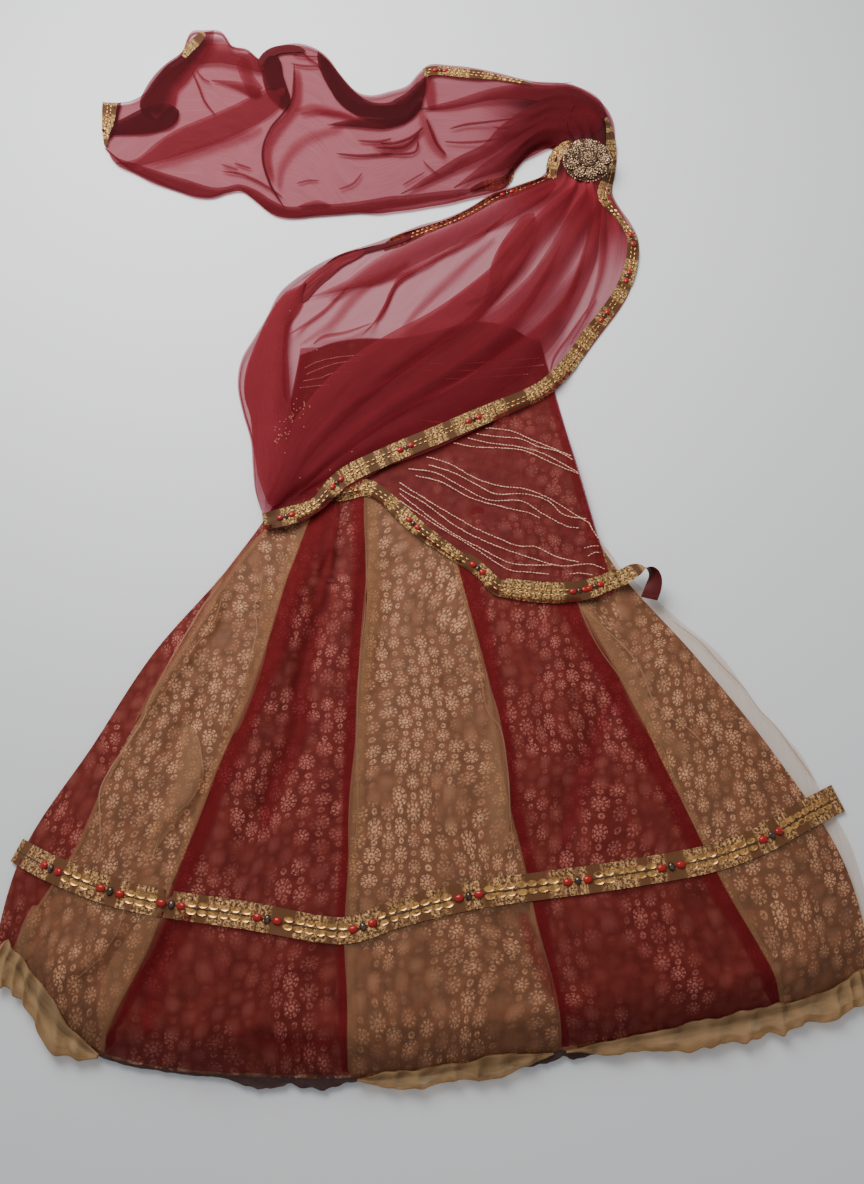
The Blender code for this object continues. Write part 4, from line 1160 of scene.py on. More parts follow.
groups = [length_at(skirt_run, across) for across in BEAD_GROUPS]
for index, start in enumerate(groups):
    sew("red_beads", skirt_run, start - BEAD_SPACE)
    sew("dark_beads", skirt_run, start, scale=1.2)
    sew("red_beads", skirt_run, start + BEAD_SPACE)
    stop = groups[index + 1] if index + 1 < len(groups) else skirt_run[-1][2] + 6.0
    first = start + SEQUINS_AFTER
    pairs = int((stop - SEQUINS_BEFORE - first) / SEQUIN_PITCH)
    for pair in range(pairs + 1):
        scale = 1.0 + 0.2 * lumps(pair, start, 1.3, 63.0)
        for aside in (-SEQUIN_ASIDE, SEQUIN_ASIDE):
            sew("gold_sequins", skirt_run, first + pair * SEQUIN_PITCH, aside, scale)
cord = 3.0
while cord < skirt_run[-1][2]:
    sew("ribbon_cord", skirt_run, cord, lift=0.1)
    cord += CORD_PITCH

# Top
# A long sleeveless top of maroon net over the printed lining, slanted at its lower edge and quilted by
# hand with groups of running stitches.
TOP_LEFT = (-152, 300)
TOP_RIGHT = (125, 314)
TOP_LOWER_EDGE = ((-176, 100), (-140, 103), (-105, 107), (-72, 108), (-48, 92), (-20, 64), (8, 43),
                  (38, 21), (66, -6), (100, -15), (140, -17), (168, -13), (188, -4))
# How far its upper edge stands over the straight line between its corners
TOP_NECK = (-11.0, 3.0, 8.0, 6.0, 9.0, 18.0, 24.0, 15.0, -9.0)


def top_side_x(side, y):
    upper = TOP_LEFT if side < 0 else TOP_RIGHT
    lower = TOP_LOWER_EDGE[0] if side < 0 else TOP_LOWER_EDGE[-1]
    return lerp(upper[0], lower[0], clamp((upper[1] - y) / (upper[1] - lower[1])))


def top_upper_y(x):
    return lerp(TOP_LEFT[1], TOP_RIGHT[1], clamp((x - TOP_LEFT[0]) / (TOP_RIGHT[0] - TOP_LEFT[0])))


def top_seat(x, y):
    """What the top's front lies on: its own back, then the skirt below the waist."""
    waist = SEAMS[0].waist_y
    on_skirt = net_level(x, min(y, waist - 1.0)) + LAY_GAP
    return lerp(RIBBON + GAP, on_skirt, ease((waist + 95.0 - y) / 90.0))


def top_spot(across, along):
    upper = lerp(Vector(TOP_LEFT), Vector(TOP_RIGHT), across)
    upper.y += smooth(TOP_NECK, across)
    lower = smooth([Vector(spot) for spot in TOP_LOWER_EDGE], across)
    return lerp(upper, lower, along)


def top_height(x, y):
    return top_seat(x, y) + CLOTH + 2.0 * GAP + CLOTH


def top_front_point(across, along):
    x, y = top_spot(across, along)
    inside = min(x - top_side_x(-1, y), top_side_x(1, y) - x)
    sag = 1.5 * lumps(x * 0.7, y * 1.6, 40.0, 51.0) + 0.5 * lumps(x, y, 14.0, 52.0)
    return x, y, top_height(x, y) - 0.4 * CLOTH + ease(inside / 18.0) * sag - 1.2 * ease(1.0 - inside / 7.0)


def top_lining_point(across, along):
    x, y = top_spot(0.006 + 0.988 * across, 0.965 * along)
    return x, y, top_seat(x, y) + 0.5 * CLOTH


def top_print(across, along):
    x, y = top_spot(across, along)
    blotch = clamp(lumps(x, y, 26.0, 55.0) + 0.15 + 0.7 * ease((x - 50.0) / 60.0) * ease((250.0 - y) / 60.0))
    return x, y * 1.02, 1.5 * blotch - 1.0


top_satin = satin_finish("top_satin", (0.150, 0.046, 0.028), (0.80, 0.46, 0.28))
top_lining = one_layer("top_lining_cloth", top_satin, ["top_lining"], (70, 80),
                       top_lining_point, top_print)
bm = bmesh.new()
add_grid(bm, 110, 120, top_front_point)
for side in (0.0, 1.0):
    def side_turning(across, along, side=side):
        x, y, z = top_front_point(abs(side - 0.045 * across), along)
        return x, y, z - 0.35
    add_grid(bm, 3, 60, side_turning)
top_front = put_on(made_from(bm, "top_front_net"), maroon_net, ["top_front"])


TOP_BACK_FOOT = TOP_BACK_CORNER[1]


def top_back_point(across, along):
    upper = lerp(Vector(TOP_LEFT), Vector(TOP_RIGHT), across)
    lower = Vector((lerp(top_side_x(-1, TOP_BACK_FOOT), top_side_x(1, TOP_BACK_FOOT), across), TOP_BACK_FOOT))
    x, y = lerp(upper, lower, along)
    return x, y, 0.5 * RIBBON


top_back = one_layer("top_back_cloth", maroon_net, ["top_back"], (30, 30), top_back_point)

# The ribbon on the lower edge, narrower, darker and finer than the skirt's. It leaves the top at the right
# hip and curls over
fine_ribbon = ribbon_finish("fine_ribbon", (1.0, 0.60, 0.23), (0.115, 0.050, 0.021), 30.0, 2.2)
TOP_RIBBON_PATH = (
    (318, 496, 16), (345, 491, 19), (366, 488, 17), (384, 497, 14), (400, 512, 16), (420, 530, 15),
    (438, 543, 14), (456, 556, 12), (470, 563, 15), (484, 574, 14), (497, 587, 17), (512, 589, 20),
    (535, 592, 21), (560, 593, 21), (585, 590, 20), (603, 584, 18), (612, 580, 18), (619, 576, 16),
)
top_cloth = surface_of(top_front, *net_gores)
top_trim, top_run = sew_on("top_ribbon", fine_ribbon, ["top_trim"], top_cloth, TOP_RIBBON_PATH, 0.8, 5)

# How the loose end lies: ahead and aside of where it leaves the top, its lift, and its turns in degrees
Turn = namedtuple("Turn", "ahead aside lift heading roll")
END_TURNS = (
    Turn(0, 0, 0.5, 20, 0), Turn(14, 6, 1.5, 26, 4), Turn(25, 12, 4.0, 24, 20), Turn(34, 14, 7.0, -5, 58),
    Turn(41, 9, 8.5, -55, 100), Turn(43, 0, 7.0, -85, 140), Turn(41, -10, 4.5, -100, 165),
    Turn(37, -19, 3.0, -105, 178),
)
END_WIDTH = 17.0
end_start = Vector((TOP_LOWER_EDGE[-1][0] - 4.0, TOP_LOWER_EDGE[-1][1] + 10.0, 0.0))
end_start.z = top_height(end_start.x, end_start.y) + 0.6


def ribbon_end(across, along):
    ahead, aside, lift, heading, bank = (smooth(values, along) for values in zip(*END_TURNS))
    heading = math.radians(heading)
    bank = math.radians(bank)
    level = Vector((math.sin(heading), -math.cos(heading), 0.0))
    out = level * math.cos(bank) + Vector((0.0, 0.0, math.sin(bank)))
    spot = end_start + Vector((ahead, aside, lift)) + out * END_WIDTH * (across - 0.5)
    return tuple(spot)


def ribbon_end_facts(across, along):
    """Its weave goes on from the sewn ribbon's, and past the turn its maroon back shows."""
    return (across - 0.5) * END_WIDTH, 400.0 + along * 80.0, ease((along - 0.42) / 0.1)


ribbon_tail = one_layer("loose_ribbon_end", fine_ribbon, ["top_trim_end"], (5, 40), ribbon_end,
                        ribbon_end_facts)

# Running stitches in pale pink thread, in pixels of the picture
STITCH_LINES = (
    ((486, 428), (511, 431), (532, 440), (552, 448), (571, 456)),
    ((477, 434), (500, 437), (521, 439), (539, 447), (557, 451), (573, 460)),
    ((468, 438), (489, 443), (514, 446), (536, 451), (554, 459), (579, 473)),
    ((454, 443), (475, 447), (500, 448), (525, 451), (554, 464), (579, 474)),
    ((427, 457), (450, 464), (475, 478), (500, 486), (525, 489), (548, 498), (571, 512), (589, 523)),
    ((429, 465), (454, 473), (477, 485), (496, 494), (525, 494), (548, 501), (564, 515), (588, 519)),
    ((409, 469), (436, 473), (462, 487), (489, 500), (521, 501), (543, 514), (566, 526), (579, 528)),
    ((416, 476), (441, 482), (471, 498), (507, 508), (529, 513), (541, 519)),
    ((400, 483), (427, 500), (454, 516), (477, 529), (500, 539), (518, 546), (536, 547), (557, 557),
     (579, 562)),
    ((400, 489), (427, 505), (454, 525), (480, 539), (507, 550), (534, 559), (561, 566), (588, 564),
     (605, 569)),
    ((400, 494), (427, 515), (454, 534), (480, 548), (507, 562), (525, 565), (552, 565)),
    ((400, 501), (436, 525), (471, 546), (507, 569), (527, 572), (548, 574)),
    ((584, 548), (595, 546), (605, 548), (614, 559)), ((588, 556), (597, 552), (606, 556), (612, 563)),
    ((589, 523), (594, 532), (600, 541)), ((570, 574), (580, 573), (592, 575)),
    ((305, 368), (320, 361), (340, 357), (362, 355)), ((307, 374), (322, 368), (338, 363), (358, 361)),
    ((304, 381), (320, 378), (334, 373), (352, 372)), ((300, 388), (316, 386), (330, 385)),
    ((410, 362), (450, 364), (490, 362), (540, 358)), ((414, 369), (450, 371), (500, 369), (545, 365)),
    ((410, 376), (450, 379), (490, 377), (530, 374)), ((420, 420), (450, 423), (480, 420), (500, 417)),
)
STITCH = (1.75, 0.52, 0.34)
STITCH_PITCH = 3.5
stitches = bmesh.new()
top_only = surface_of(top_front)
for line in STITCH_LINES:
    path = [(*spot, 1.0) for spot in line]
    guide = bmesh.new()
    run = lay_strip(guide, top_only, path, 0.25, columns=1)
    guide.free()
    length = 1.0
    while length < run[-1][2]:
        middle, across, along = at_length(run, length)
        jog = 0.35 * lumps(length, run[0][0].x, 3.0, 61.0)
        set_down(stitches, bead_shape, middle + across * jog, along, across,
                 [side * (1.0 + 0.25 * lumps(length, run[0][0].y, 2.0, 62.0)) for side in STITCH])
        length += STITCH_PITCH
thread = Finish("quilting_thread")
thread.principled(Base_Color=(0.95, 0.56, 0.38), Roughness=0.6)
put_on(made_from(stitches, "running_stitches"), thread.material)

# Drape
# One length of maroon chiffon. It starts at the left hip, crosses the top, is gathered under the brooch
# at the shoulder, and ends in a free tail turned wrong side up, whose folds are painted darker as shade.
# One layer is pink on the white table; folds of three and five layers are dark. Rows pair the two edges,
# in pixels of the picture.
DRAPE_ROWS = (
    (263, 530, 262, 512), (290, 526, 256, 490), (320, 511, 254, 465), (337, 496, 252, 440),
    (360, 482, 244, 412), (386, 467, 239, 385), (415, 457, 243, 360), (445, 445, 256, 338),
    (475, 430, 268, 318), (505, 416, 280, 295), (532, 403, 298, 279), (553, 391, 320, 265),
    (567, 377, 345, 254), (580, 362, 370, 246), (593, 345, 395, 237), (606, 328, 420, 227),
    (618, 312, 445, 220), (628, 295, 468, 210), (635, 275, 488, 198), (639, 255, 508, 190),
    (638, 237, 526, 184), (630, 221, 540, 179), (620, 207, 547, 172), (613, 193, 550, 165),
    (614, 178, 551, 160), (617, 160, 553, 153), (616, 140, 552, 148), (613, 118, 545, 147),
    (600, 99, 533, 151), (572, 83, 522, 161), (546, 84, 511, 175), (520, 80, 505, 187), (496, 74, 490, 193),
    (470, 69, 468, 198), (450, 67, 448, 203), (431, 66, 430, 206), (420, 74, 412, 209), (408, 87, 395, 211),
    (390, 93, 378, 213), (372, 97, 360, 212), (356, 93, 345, 213), (340, 77, 330, 214), (328, 60, 315, 215),
    (315, 50, 300, 217), (297, 45, 285, 217), (277, 48, 272, 213), (263, 56, 258, 202), (258, 60, 243, 191),
    (247, 51, 228, 192), (232, 48, 212, 197), (222, 35, 195, 196), (205, 34, 180, 191), (191, 36, 165, 185),
    (182, 56, 152, 179), (167, 67, 138, 173), (155, 82, 126, 166), (146, 94, 117, 159), (128, 103, 109, 152),
    (103, 103, 105, 149),
)
GATHER_ROW = 25
HIP_CRESTS = (0.08, 0.18, 0.30, 0.41, 0.53, 0.65, 0.78, 0.90)
TAIL_CRESTS = (0.10, 0.25, 0.42, 0.57, 0.74, 0.90)
GATHER_HEIGHT = 12.0
GATHER_PLEAT = 3.6


def seat_under_drape(x, y):
    """Height of what the drape lies on: the top, the skirt's upper corner, or the table."""
    beside_top = min(x - top_side_x(-1, y), top_side_x(1, y) - x, top_upper_y(x) - y)
    on_top = (top_height(x, y) + GAP + RIBBON) * ease((beside_top + 34.0) / 26.0)
    waist = SEAMS[0].waist_y
    beside_skirt = min(x - seam_x(SEAMS[0], y), waist - y)
    on_skirt = net_level(x, min(y, waist - 1.0)) * ease((beside_skirt + 30.0) / 24.0)
    return max(on_top, on_skirt)


def drape_edge(across, down, row):
    spot = as_seen(across, down)
    for _ in range(3):
        z = seat_under_drape(*spot) + 2.0 if row < GATHER_ROW else 3.0
        spot = as_seen(across, down, z)
    return spot


drape_first = [drape_edge(row[0], row[1], index) for index, row in enumerate(DRAPE_ROWS)]
drape_second = [drape_edge(row[2], row[3], index) for index, row in enumerate(DRAPE_ROWS)]
LAST_ROW = len(DRAPE_ROWS) - 1


def drape_point(across, along):
    row = along * LAST_ROW
    first = smooth(drape_first, along)
    second = smooth(drape_second, along)
    x, y = lerp(first, second, across)
    tail = ease((row - GATHER_ROW - 2.0) / 5.0)
    near = ease((row - 4.0) / 20.0) * (1.0 - ease((row - GATHER_ROW - 3.0) / 14.0))
    sway = 0.03 * lumps(row * 0.6, across * 3.0, 2.0, 71.0)
    crests = HIP_CRESTS if row < GATHER_ROW else TAIL_CRESTS
    pleats = sum(math.exp(-((across + sway - crest) / 0.035) ** 2) for crest in crests)
    height = pleats * lerp(1.3, 3.0, near) * ease(across / 0.1) * ease((1.0 - across) / 0.1)
    plateau = ease(across / 0.26) * ease((1.0 - across) / 0.26)
    bunch = plateau * GATHER_HEIGHT * ease((row - 16.0) / 8.0) * ease((35.0 - row) / 8.0)
    seat = lerp(seat_under_drape(x, y), 1.0, tail)
    clear = LAY_GAP * ease(seat / 3.0)
    rim = ease((row - 44.0) / 8.0) * (1.0 - ease((row - 50.0) / 7.0)) * ease(1.0 - across / 0.35)
    rise = 7.0 * tail * rim
    ripple = 0.7 * lumps(x, y, 24.0, 72.0) + 0.4 * lumps(x, y, 9.0, 73.0)
    ripple *= ease(across / 0.06) * ease((1.0 - across) / 0.06)
    return x, y, seat + clear + 0.8 + height * lerp(0.45, 1.0, near) + bunch + rise + ripple


def drape_facts(across, along):
    row = along * LAST_ROW
    gathered = ease((row - 17.0) / 7.0) * ease((GATHER_ROW + 8.0 - row) / 7.0)
    packed = 3.2 * gathered * ease(across / 0.2) * ease((1.0 - across) / 0.08)
    width = (smooth(drape_first, along) - smooth(drape_second, along)).length
    drawn = 1.0 + 0.8 * gathered * lumps(across * 15.0, row * 0.15, 1.0, 75.0)
    single = lerp(0.85, 1.12, ease((row - GATHER_ROW) / 6.0))
    return across * lerp(width, 60.0, gathered), row * 16.0, max(single, (single + packed) * drawn)


CHIFFON_THREAD = (0.312, 0.029, 0.041)
CHIFFON_TINT = (0.69, 0.46, 0.493)
# tail=0.24 paints the tail's packed folds far darker, as shade
chiffon = sheer_finish("maroon_chiffon", CHIFFON_THREAD, CHIFFON_TINT, 0.27, 0.8, streaks=0.14, deep=1.06,
                       tail=0.24)
bm = bmesh.new()
add_grid(bm, 64, 330, drape_point, drape_facts)
ground = bpy.data.meshes.new("drape_ground")
bm.to_mesh(ground)
ground_piece = bpy.data.objects.new("drape_ground", ground)
drape_cloth = surface_of(ground_piece)
bpy.data.objects.remove(ground_piece)

# Folds, pleats and fine creases of the drape, and faint soft-edged strips laid on it as painted shade
TAIL_FOLDS = (
    Fold(1.0, 1, 1, (
        (116, 164, 2), (139, 162, 8), (163, 150, 20), (186, 139.6, 26), (214, 129, 28), (237, 119, 28),
        (256, 109, 27), (274, 98, 22), (286, 89, 14))),
    Fold(2.0, 0.5, 1, (
        (214, 32, 10), (204, 42, 18), (195, 53, 21), (187, 63, 23), (177, 73, 28), (166, 84, 29),
        (160, 97, 34), (157, 108, 35), (157, 121, 24))),
    Fold(2.2, 1, 1, (
        (102, 131, 4), (111, 130, 10), (128, 126, 18), (147, 121, 26), (166, 116, 25), (179, 111, 12))),
    Fold(1.2, 0.6, 1, (
        (192, 57, 16), (208, 54, 19), (222, 54, 19), (240, 58, 17), (254, 64, 14), (265, 71, 8))),
    Fold(1.0, 0.6, 0.6, ((242, 58, 16), (246, 74, 13), (251, 84, 14), (258, 96, 18))),
    Fold(1.2, 0.6, 1, ((211, 81, 1.5), (222, 82.5, 3.5), (235, 85, 7), (246, 89, 10), (262, 96, 12))),
    # A rolled rim, painted near black as shade
    Fold(9.0, 1, 1, ((260, 70, 4), (262, 61, 7), (270, 54, 9), (281, 50, 8), (296, 49.5, 7), (306, 52, 2))),
    Fold(2.4, 1, 0.7, (
        (267, 52, 12), (271, 64, 20), (273, 78, 21), (277, 90, 21), (283, 100, 16), (287, 110, 8))),
    Fold(2.5, 1, 0.4, (
        (294, 62, 1.5), (294, 83, 2.2), (292, 100, 2.4), (282, 115, 2.4), (271, 128, 2.4), (263.5, 146, 2.4),
        (263, 162, 2.4), (268, 179, 2.4), (274, 192, 2.2), (286, 210, 1.5))),
    # Painted shade: a faint soft strip beside the fold
    Fold(0.8, 0, 1, (
        (298, 66, 8), (298, 90, 12), (296, 106, 12), (287, 120, 12), (277, 132, 12), (269, 148, 10),
        (269, 165, 9), (274, 184, 8))),
    Fold(0.7, 0, 0, ((294, 112, 4), (312, 108, 11), (330, 112, 13), (348, 117, 9), (362, 120, 4))),
    Fold(1.4, 0.2, 1, ((292, 53, 1.5), (301, 56.5, 2.4), (322, 57, 1.5))),
    Fold(1.4, 0.2, 1, ((291, 64, 1.5), (304, 66.5, 2.6), (324, 66.5, 1.5))),
    Fold(1.4, 0.2, 1, ((300, 50, 1.5), (310, 60, 2.4), (323, 68, 1.5))),
    Fold(2.4, 0.8, 1, (
        (318, 52, 8), (324, 64, 12), (332, 77, 16), (341, 90, 18), (350, 100, 19), (362, 108, 18),
        (376, 112, 18), (392, 113, 22), (404, 108, 24), (414, 98, 18), (421, 87, 12), (426, 76, 6))),
    Fold(2.0, 0.3, 1, (
        (327, 125.5, 1.5), (345, 123.5, 6), (366, 122, 12), (385, 122, 14), (402, 117, 14), (414, 108, 12),
        (422, 97, 6))),
    Fold(0.9, 0, 0, ((299, 115, 3), (318, 112.5, 7), (338, 114, 7), (356, 119, 3))),
    Fold(1.8, 0.3, 1, ((336, 154, 1.5), (358, 156, 3), (378, 155, 3.5), (394, 154, 2))),
    Fold(1.6, 0.3, 1, ((357, 141, 1.5), (377, 142, 3), (392, 139, 2))),
    Fold(1.8, 0.2, 1, ((379, 143, 1.5), (392, 144, 3), (411, 138, 3.5), (424, 127, 2))),
    Fold(1.8, 0.2, 1, ((374, 148, 1.5), (398, 148.5, 3.5), (409, 144.5, 3), (420, 133, 2))),
    Fold(1.6, 0.2, 1, ((379, 153, 2), (398, 154, 3), (415, 152, 3), (418, 140, 2))),
    # Painted shade: a faint soft strip
    Fold(0.5, 0, 0, ((370, 146, 6), (392, 148, 13), (410, 143, 13), (424, 128, 6))),
    Fold(1.4, 1, 1, (
        (108, 150, 2), (113, 158, 5), (122, 164, 8), (138, 170, 10), (157, 178, 13), (186, 186.5, 13),
        (209, 192, 10), (224, 190, 5), (239, 186.5, 4), (253, 192, 6), (262, 199, 9), (269, 205, 11),
        (288, 211.5, 9), (316, 210, 11), (339, 208.5, 9), (367, 206, 11), (390, 202, 11), (407, 200.5, 10),
        (432, 197, 9), (455, 194, 8), (470, 191, 6), (492, 184, 4))),
    Fold(1.0, 0.3, 1, (
        (240, 187, 2), (262, 202, 5), (290, 214, 5), (330, 213, 5), (372, 209, 4), (430, 200, 3))),
    Fold(1.3, 0.5, 1, ((298, 207, 2), (310, 205, 6), (319, 204, 7), (332, 207, 3))),
    Fold(1.4, 1, 0.8, (
        (401, 195, 1.5), (433, 178, 8), (460, 163, 12), (487, 150, 13), (505, 134, 17), (528, 120, 21),
        (550, 111, 24), (574, 107, 26))),
    Fold(1.3, 1, 1, (
        (454, 189, 1.5), (473, 177, 7), (490, 168, 14), (510, 157, 18), (527, 146, 24), (545, 134, 30),
        (567, 123, 34))),
    Fold(1.0, 0, 0.4, ((536, 132, 12), (560, 124, 26), (582, 118, 34), (606, 121, 24))),
    Fold(1.3, 0.8, 1, (
        (419, 110, 2), (440, 107, 6), (457, 103.6, 8), (487, 95.5, 11), (512, 92, 14), (541, 92, 20),
        (565, 97, 26), (588, 106, 26), (606, 119, 14))),
    Fold(0.8, 0, 1, ((429, 76, 12), (431, 92, 13), (433, 110, 10))),
    Fold(1.6, 0.2, 1, ((426, 118, 1.5), (431, 130, 3.5), (437, 144, 3.5), (447, 156, 2))),
    Fold(1.4, 0.2, 1, ((444, 142, 1.5), (460, 143, 2.5), (480, 142, 3), (500, 139, 1.5))),
    Fold(1.6, 0.2, 1, ((449, 129.5, 1.5), (466, 125, 3), (487, 122.5, 2.5), (514, 119, 1.5))),
    Fold(1.2, 0.2, 1, ((492, 127.7, 1.5), (505, 128.6, 3), (514, 126, 1.5))),
    Fold(1.2, 0.2, 1, ((422, 160, 1.5), (433, 171, 2.2), (440, 175, 1.5))),
    # Painted shade: these two faint soft strips
    Fold(0.55, 0, 0, ((420, 110, 8), (426, 128, 17), (434, 146, 15), (446, 160, 6))),
    Fold(0.45, 0, 0, ((345, 128, 8), (305, 140, 15), (283, 165, 13), (279, 192, 6))),
    Fold(2.2, 1, 1, ((121, 103, 3), (115, 112, 8), (112, 125, 9), (108, 140, 5))),
    Fold(1.4, 0.3, 1, ((192, 71, 1.5), (199, 87, 2.4), (205, 102, 2.4), (216, 116, 1.5))),
    Fold(1.2, 0.3, 1, ((196, 70, 1.5), (203, 79, 2.4), (211, 83, 1.5))),
    Fold(1.3, 0.2, 1, ((221, 165, 1.5), (231, 168, 2.6), (239, 171, 1.5))),
    Fold(1.3, 0.2, 1, ((233, 163, 1.5), (243, 166, 2.6), (252, 169, 1.5))),
    Fold(1.5, 0.2, 1, (
        (221, 171.5, 1.5), (240, 174, 2.6), (257, 181, 3), (273, 190.5, 2.6), (283, 198, 1.5))),
    # Painted shade: a faint soft band below the first fold
    Fold(0.5, 0, 0, ((136, 174, 4), (175, 160, 13), (210, 148, 15), (245, 136, 13), (264, 128, 5))),
    Fold(1.2, 0.2, 1, ((296, 184, 1.5), (308, 181, 2.6), (320, 181, 1.5))),
    Fold(1.2, 0.2, 1, ((338, 190, 1.5), (353, 184, 2.8), (363, 172, 1.5))),
    Fold(1.2, 0.2, 1, ((402, 186, 1.5), (412, 180, 2.2), (426, 172, 1.5))),
)
HIP_FOLDS = (
    Fold(1.0, 1, 0.5, (
        (556, 184, 10), (538, 193, 18), (520, 203, 21), (490, 218, 23), (453, 235, 21), (420, 250, 23),
        (386, 267, 23), (364, 278, 17), (346, 286, 9), (310, 298, 3))),
    Fold(1.0, 0.3, 0.3, ((504, 220, 3), (470, 240, 4), (430, 262, 5), (395, 277, 4), (366, 287, 2))),
    # Two rolled rims, painted dark as shade
    Fold(9.0, 1, 1, (
        (412, 238, 3), (396, 243, 4), (376, 248, 5), (358, 253, 6), (344, 259, 5), (332, 268, 2))),
    Fold(6.2, 1, 1, (
        (366, 251, 6), (352, 256, 10), (339, 262, 12), (324, 274, 13), (309, 287, 14), (297, 302, 14))),
    Fold(2.0, 0.8, 1, (
        (306, 284, 10), (292, 302, 22), (279, 322, 24), (272, 346, 32), (268, 369, 42), (267, 391, 46),
        (271, 413, 42), (274, 440, 42), (276, 470, 38), (274, 508, 26))),
    Fold(0.9, 0, 0, (
        (302, 292, 8), (286, 318, 16), (280, 350, 18), (280, 385, 20), (282, 420, 18), (286, 454, 10))),
    Fold(1.5, 0.1, 1, (
        (578, 184, 12), (556, 212, 22), (530, 243, 28), (505, 276, 32), (470, 306, 34), (438, 330, 38),
        (402, 352, 44), (366, 378, 50), (335, 408, 50), (305, 445, 44), (282, 485, 32), (266, 516, 14))),
    Fold(1.3, 0.1, 0.7, (
        (592, 186, 20), (580, 220, 26), (562, 255, 30), (542, 288, 36), (510, 322, 42), (468, 352, 46),
        (428, 378, 46), (388, 406, 42), (350, 435, 38), (315, 465, 28), (280, 502, 14))),
    Fold(1.2, 0.6, 0.2, (
        (601, 191, 8), (594, 230, 12), (588, 260, 16), (566, 300, 26), (540, 336, 32), (505, 366, 36),
        (465, 392, 34), (418, 416, 30), (370, 440, 22), (332, 468, 14), (298, 496, 6))),
    Fold(2.4, 0, 0, (
        (564, 240, 4), (530, 300, 9), (495, 335, 13), (450, 366, 17), (410, 390, 17), (370, 418, 15),
        (330, 452, 13), (290, 490, 6))),
    Fold(2.0, 0, 0, (
        (548, 208, 3), (520, 262, 8), (480, 312, 12), (440, 345, 15), (395, 378, 15), (350, 402, 13),
        (320, 430, 9), (288, 472, 5))),
    Fold(1.6, 0, 0, (
        (592, 222, 4), (572, 290, 8), (545, 325, 12), (505, 356, 15), (460, 384, 15), (415, 404, 13),
        (375, 428, 9), (330, 462, 4))),
    Fold(1.0, 0, 0.5, ((603, 196, 4), (604, 230, 8), (603, 258, 8), (596, 290, 5), (584, 318, 2))),
    Fold(1.6, 0.6, 1, ((534, 214, 16), (512, 245, 20), (499, 265, 15), (493, 285, 10), (485, 306, 4))),
    Fold(1.4, 0.2, 1, (
        (520, 204, 1.5), (476, 239, 2.6), (444, 255, 3.2), (422, 268, 3.6), (400, 279, 4), (391, 295, 3.4),
        (380, 317, 3), (360, 338, 2))),
    Fold(1.4, 0.2, 1, ((417, 271, 1.5), (404, 279, 4), (393, 290, 4.6), (386, 306, 5), (374, 324, 2.6))),
    Fold(1.2, 0.2, 1, ((373, 323, 1.5), (346, 333, 3.6), (324, 337, 4), (313, 345, 2))),
    Fold(1.2, 0.2, 1, ((349, 286, 2), (328, 308, 3.6), (310, 322, 3.6), (289, 335, 1.5))),
    Fold(1.2, 0.2, 1, ((492, 276, 3), (490, 294, 5), (464, 305, 2.6))),
    Fold(1.6, 0.2, 1, ((589, 307, 1.5), (569, 337, 3), (555, 357, 3), (550, 373, 1.5))),
    Fold(1.4, 0.2, 1, ((597, 298, 1.5), (584, 322, 2.4), (569, 347, 1.5))),
    # Painted shade: three faint soft strips over the hip
    Fold(0.55, 0, 0, ((328, 302, 6), (352, 290, 13), (385, 276, 13), (412, 261, 5))),
    Fold(0.5, 0, 0, ((298, 347, 4), (330, 325, 11), (352, 300, 13), (374, 283, 5))),
    Fold(0.5, 0, 0, ((400, 330, 4), (428, 300, 12), (462, 268, 12), (498, 236, 5))),
)
HEM_WIDTH = 2.6
CREASE_WIDTH = 6
PLEAT_WIDTH = 20
# The drape's own narrow hems along both edges
edges = [[(row[2 * side], row[2 * side + 1], HEM_WIDTH) for row in DRAPE_ROWS] for side in (0, 1)]
DRAPE_HEMS = [Fold(1.4, 1, 1, edge) for edge in (edges[0][29:], edges[1][:24], edges[1][27:])]
for index, fold in enumerate(TAIL_FOLDS + HIP_FOLDS + tuple(DRAPE_HEMS)):
    widest = max(spot[2] for spot in fold.path)
    columns = 4 if widest < CREASE_WIDTH else 8 if widest < PLEAT_WIDTH else 12
    lay_strip(bm, drape_cloth, fold.path, 0.4 + 0.12 * (index % 7), columns=columns, step=4.5,
              dome=0.3 + 0.05 * widest, layers=fold.layers, taper=0.09, left=fold.left, right=fold.right)
drape = put_on(made_from(bm, "chiffon_drape"), chiffon,
               ["drape_hip", "drape_gather", "drape_tail"])

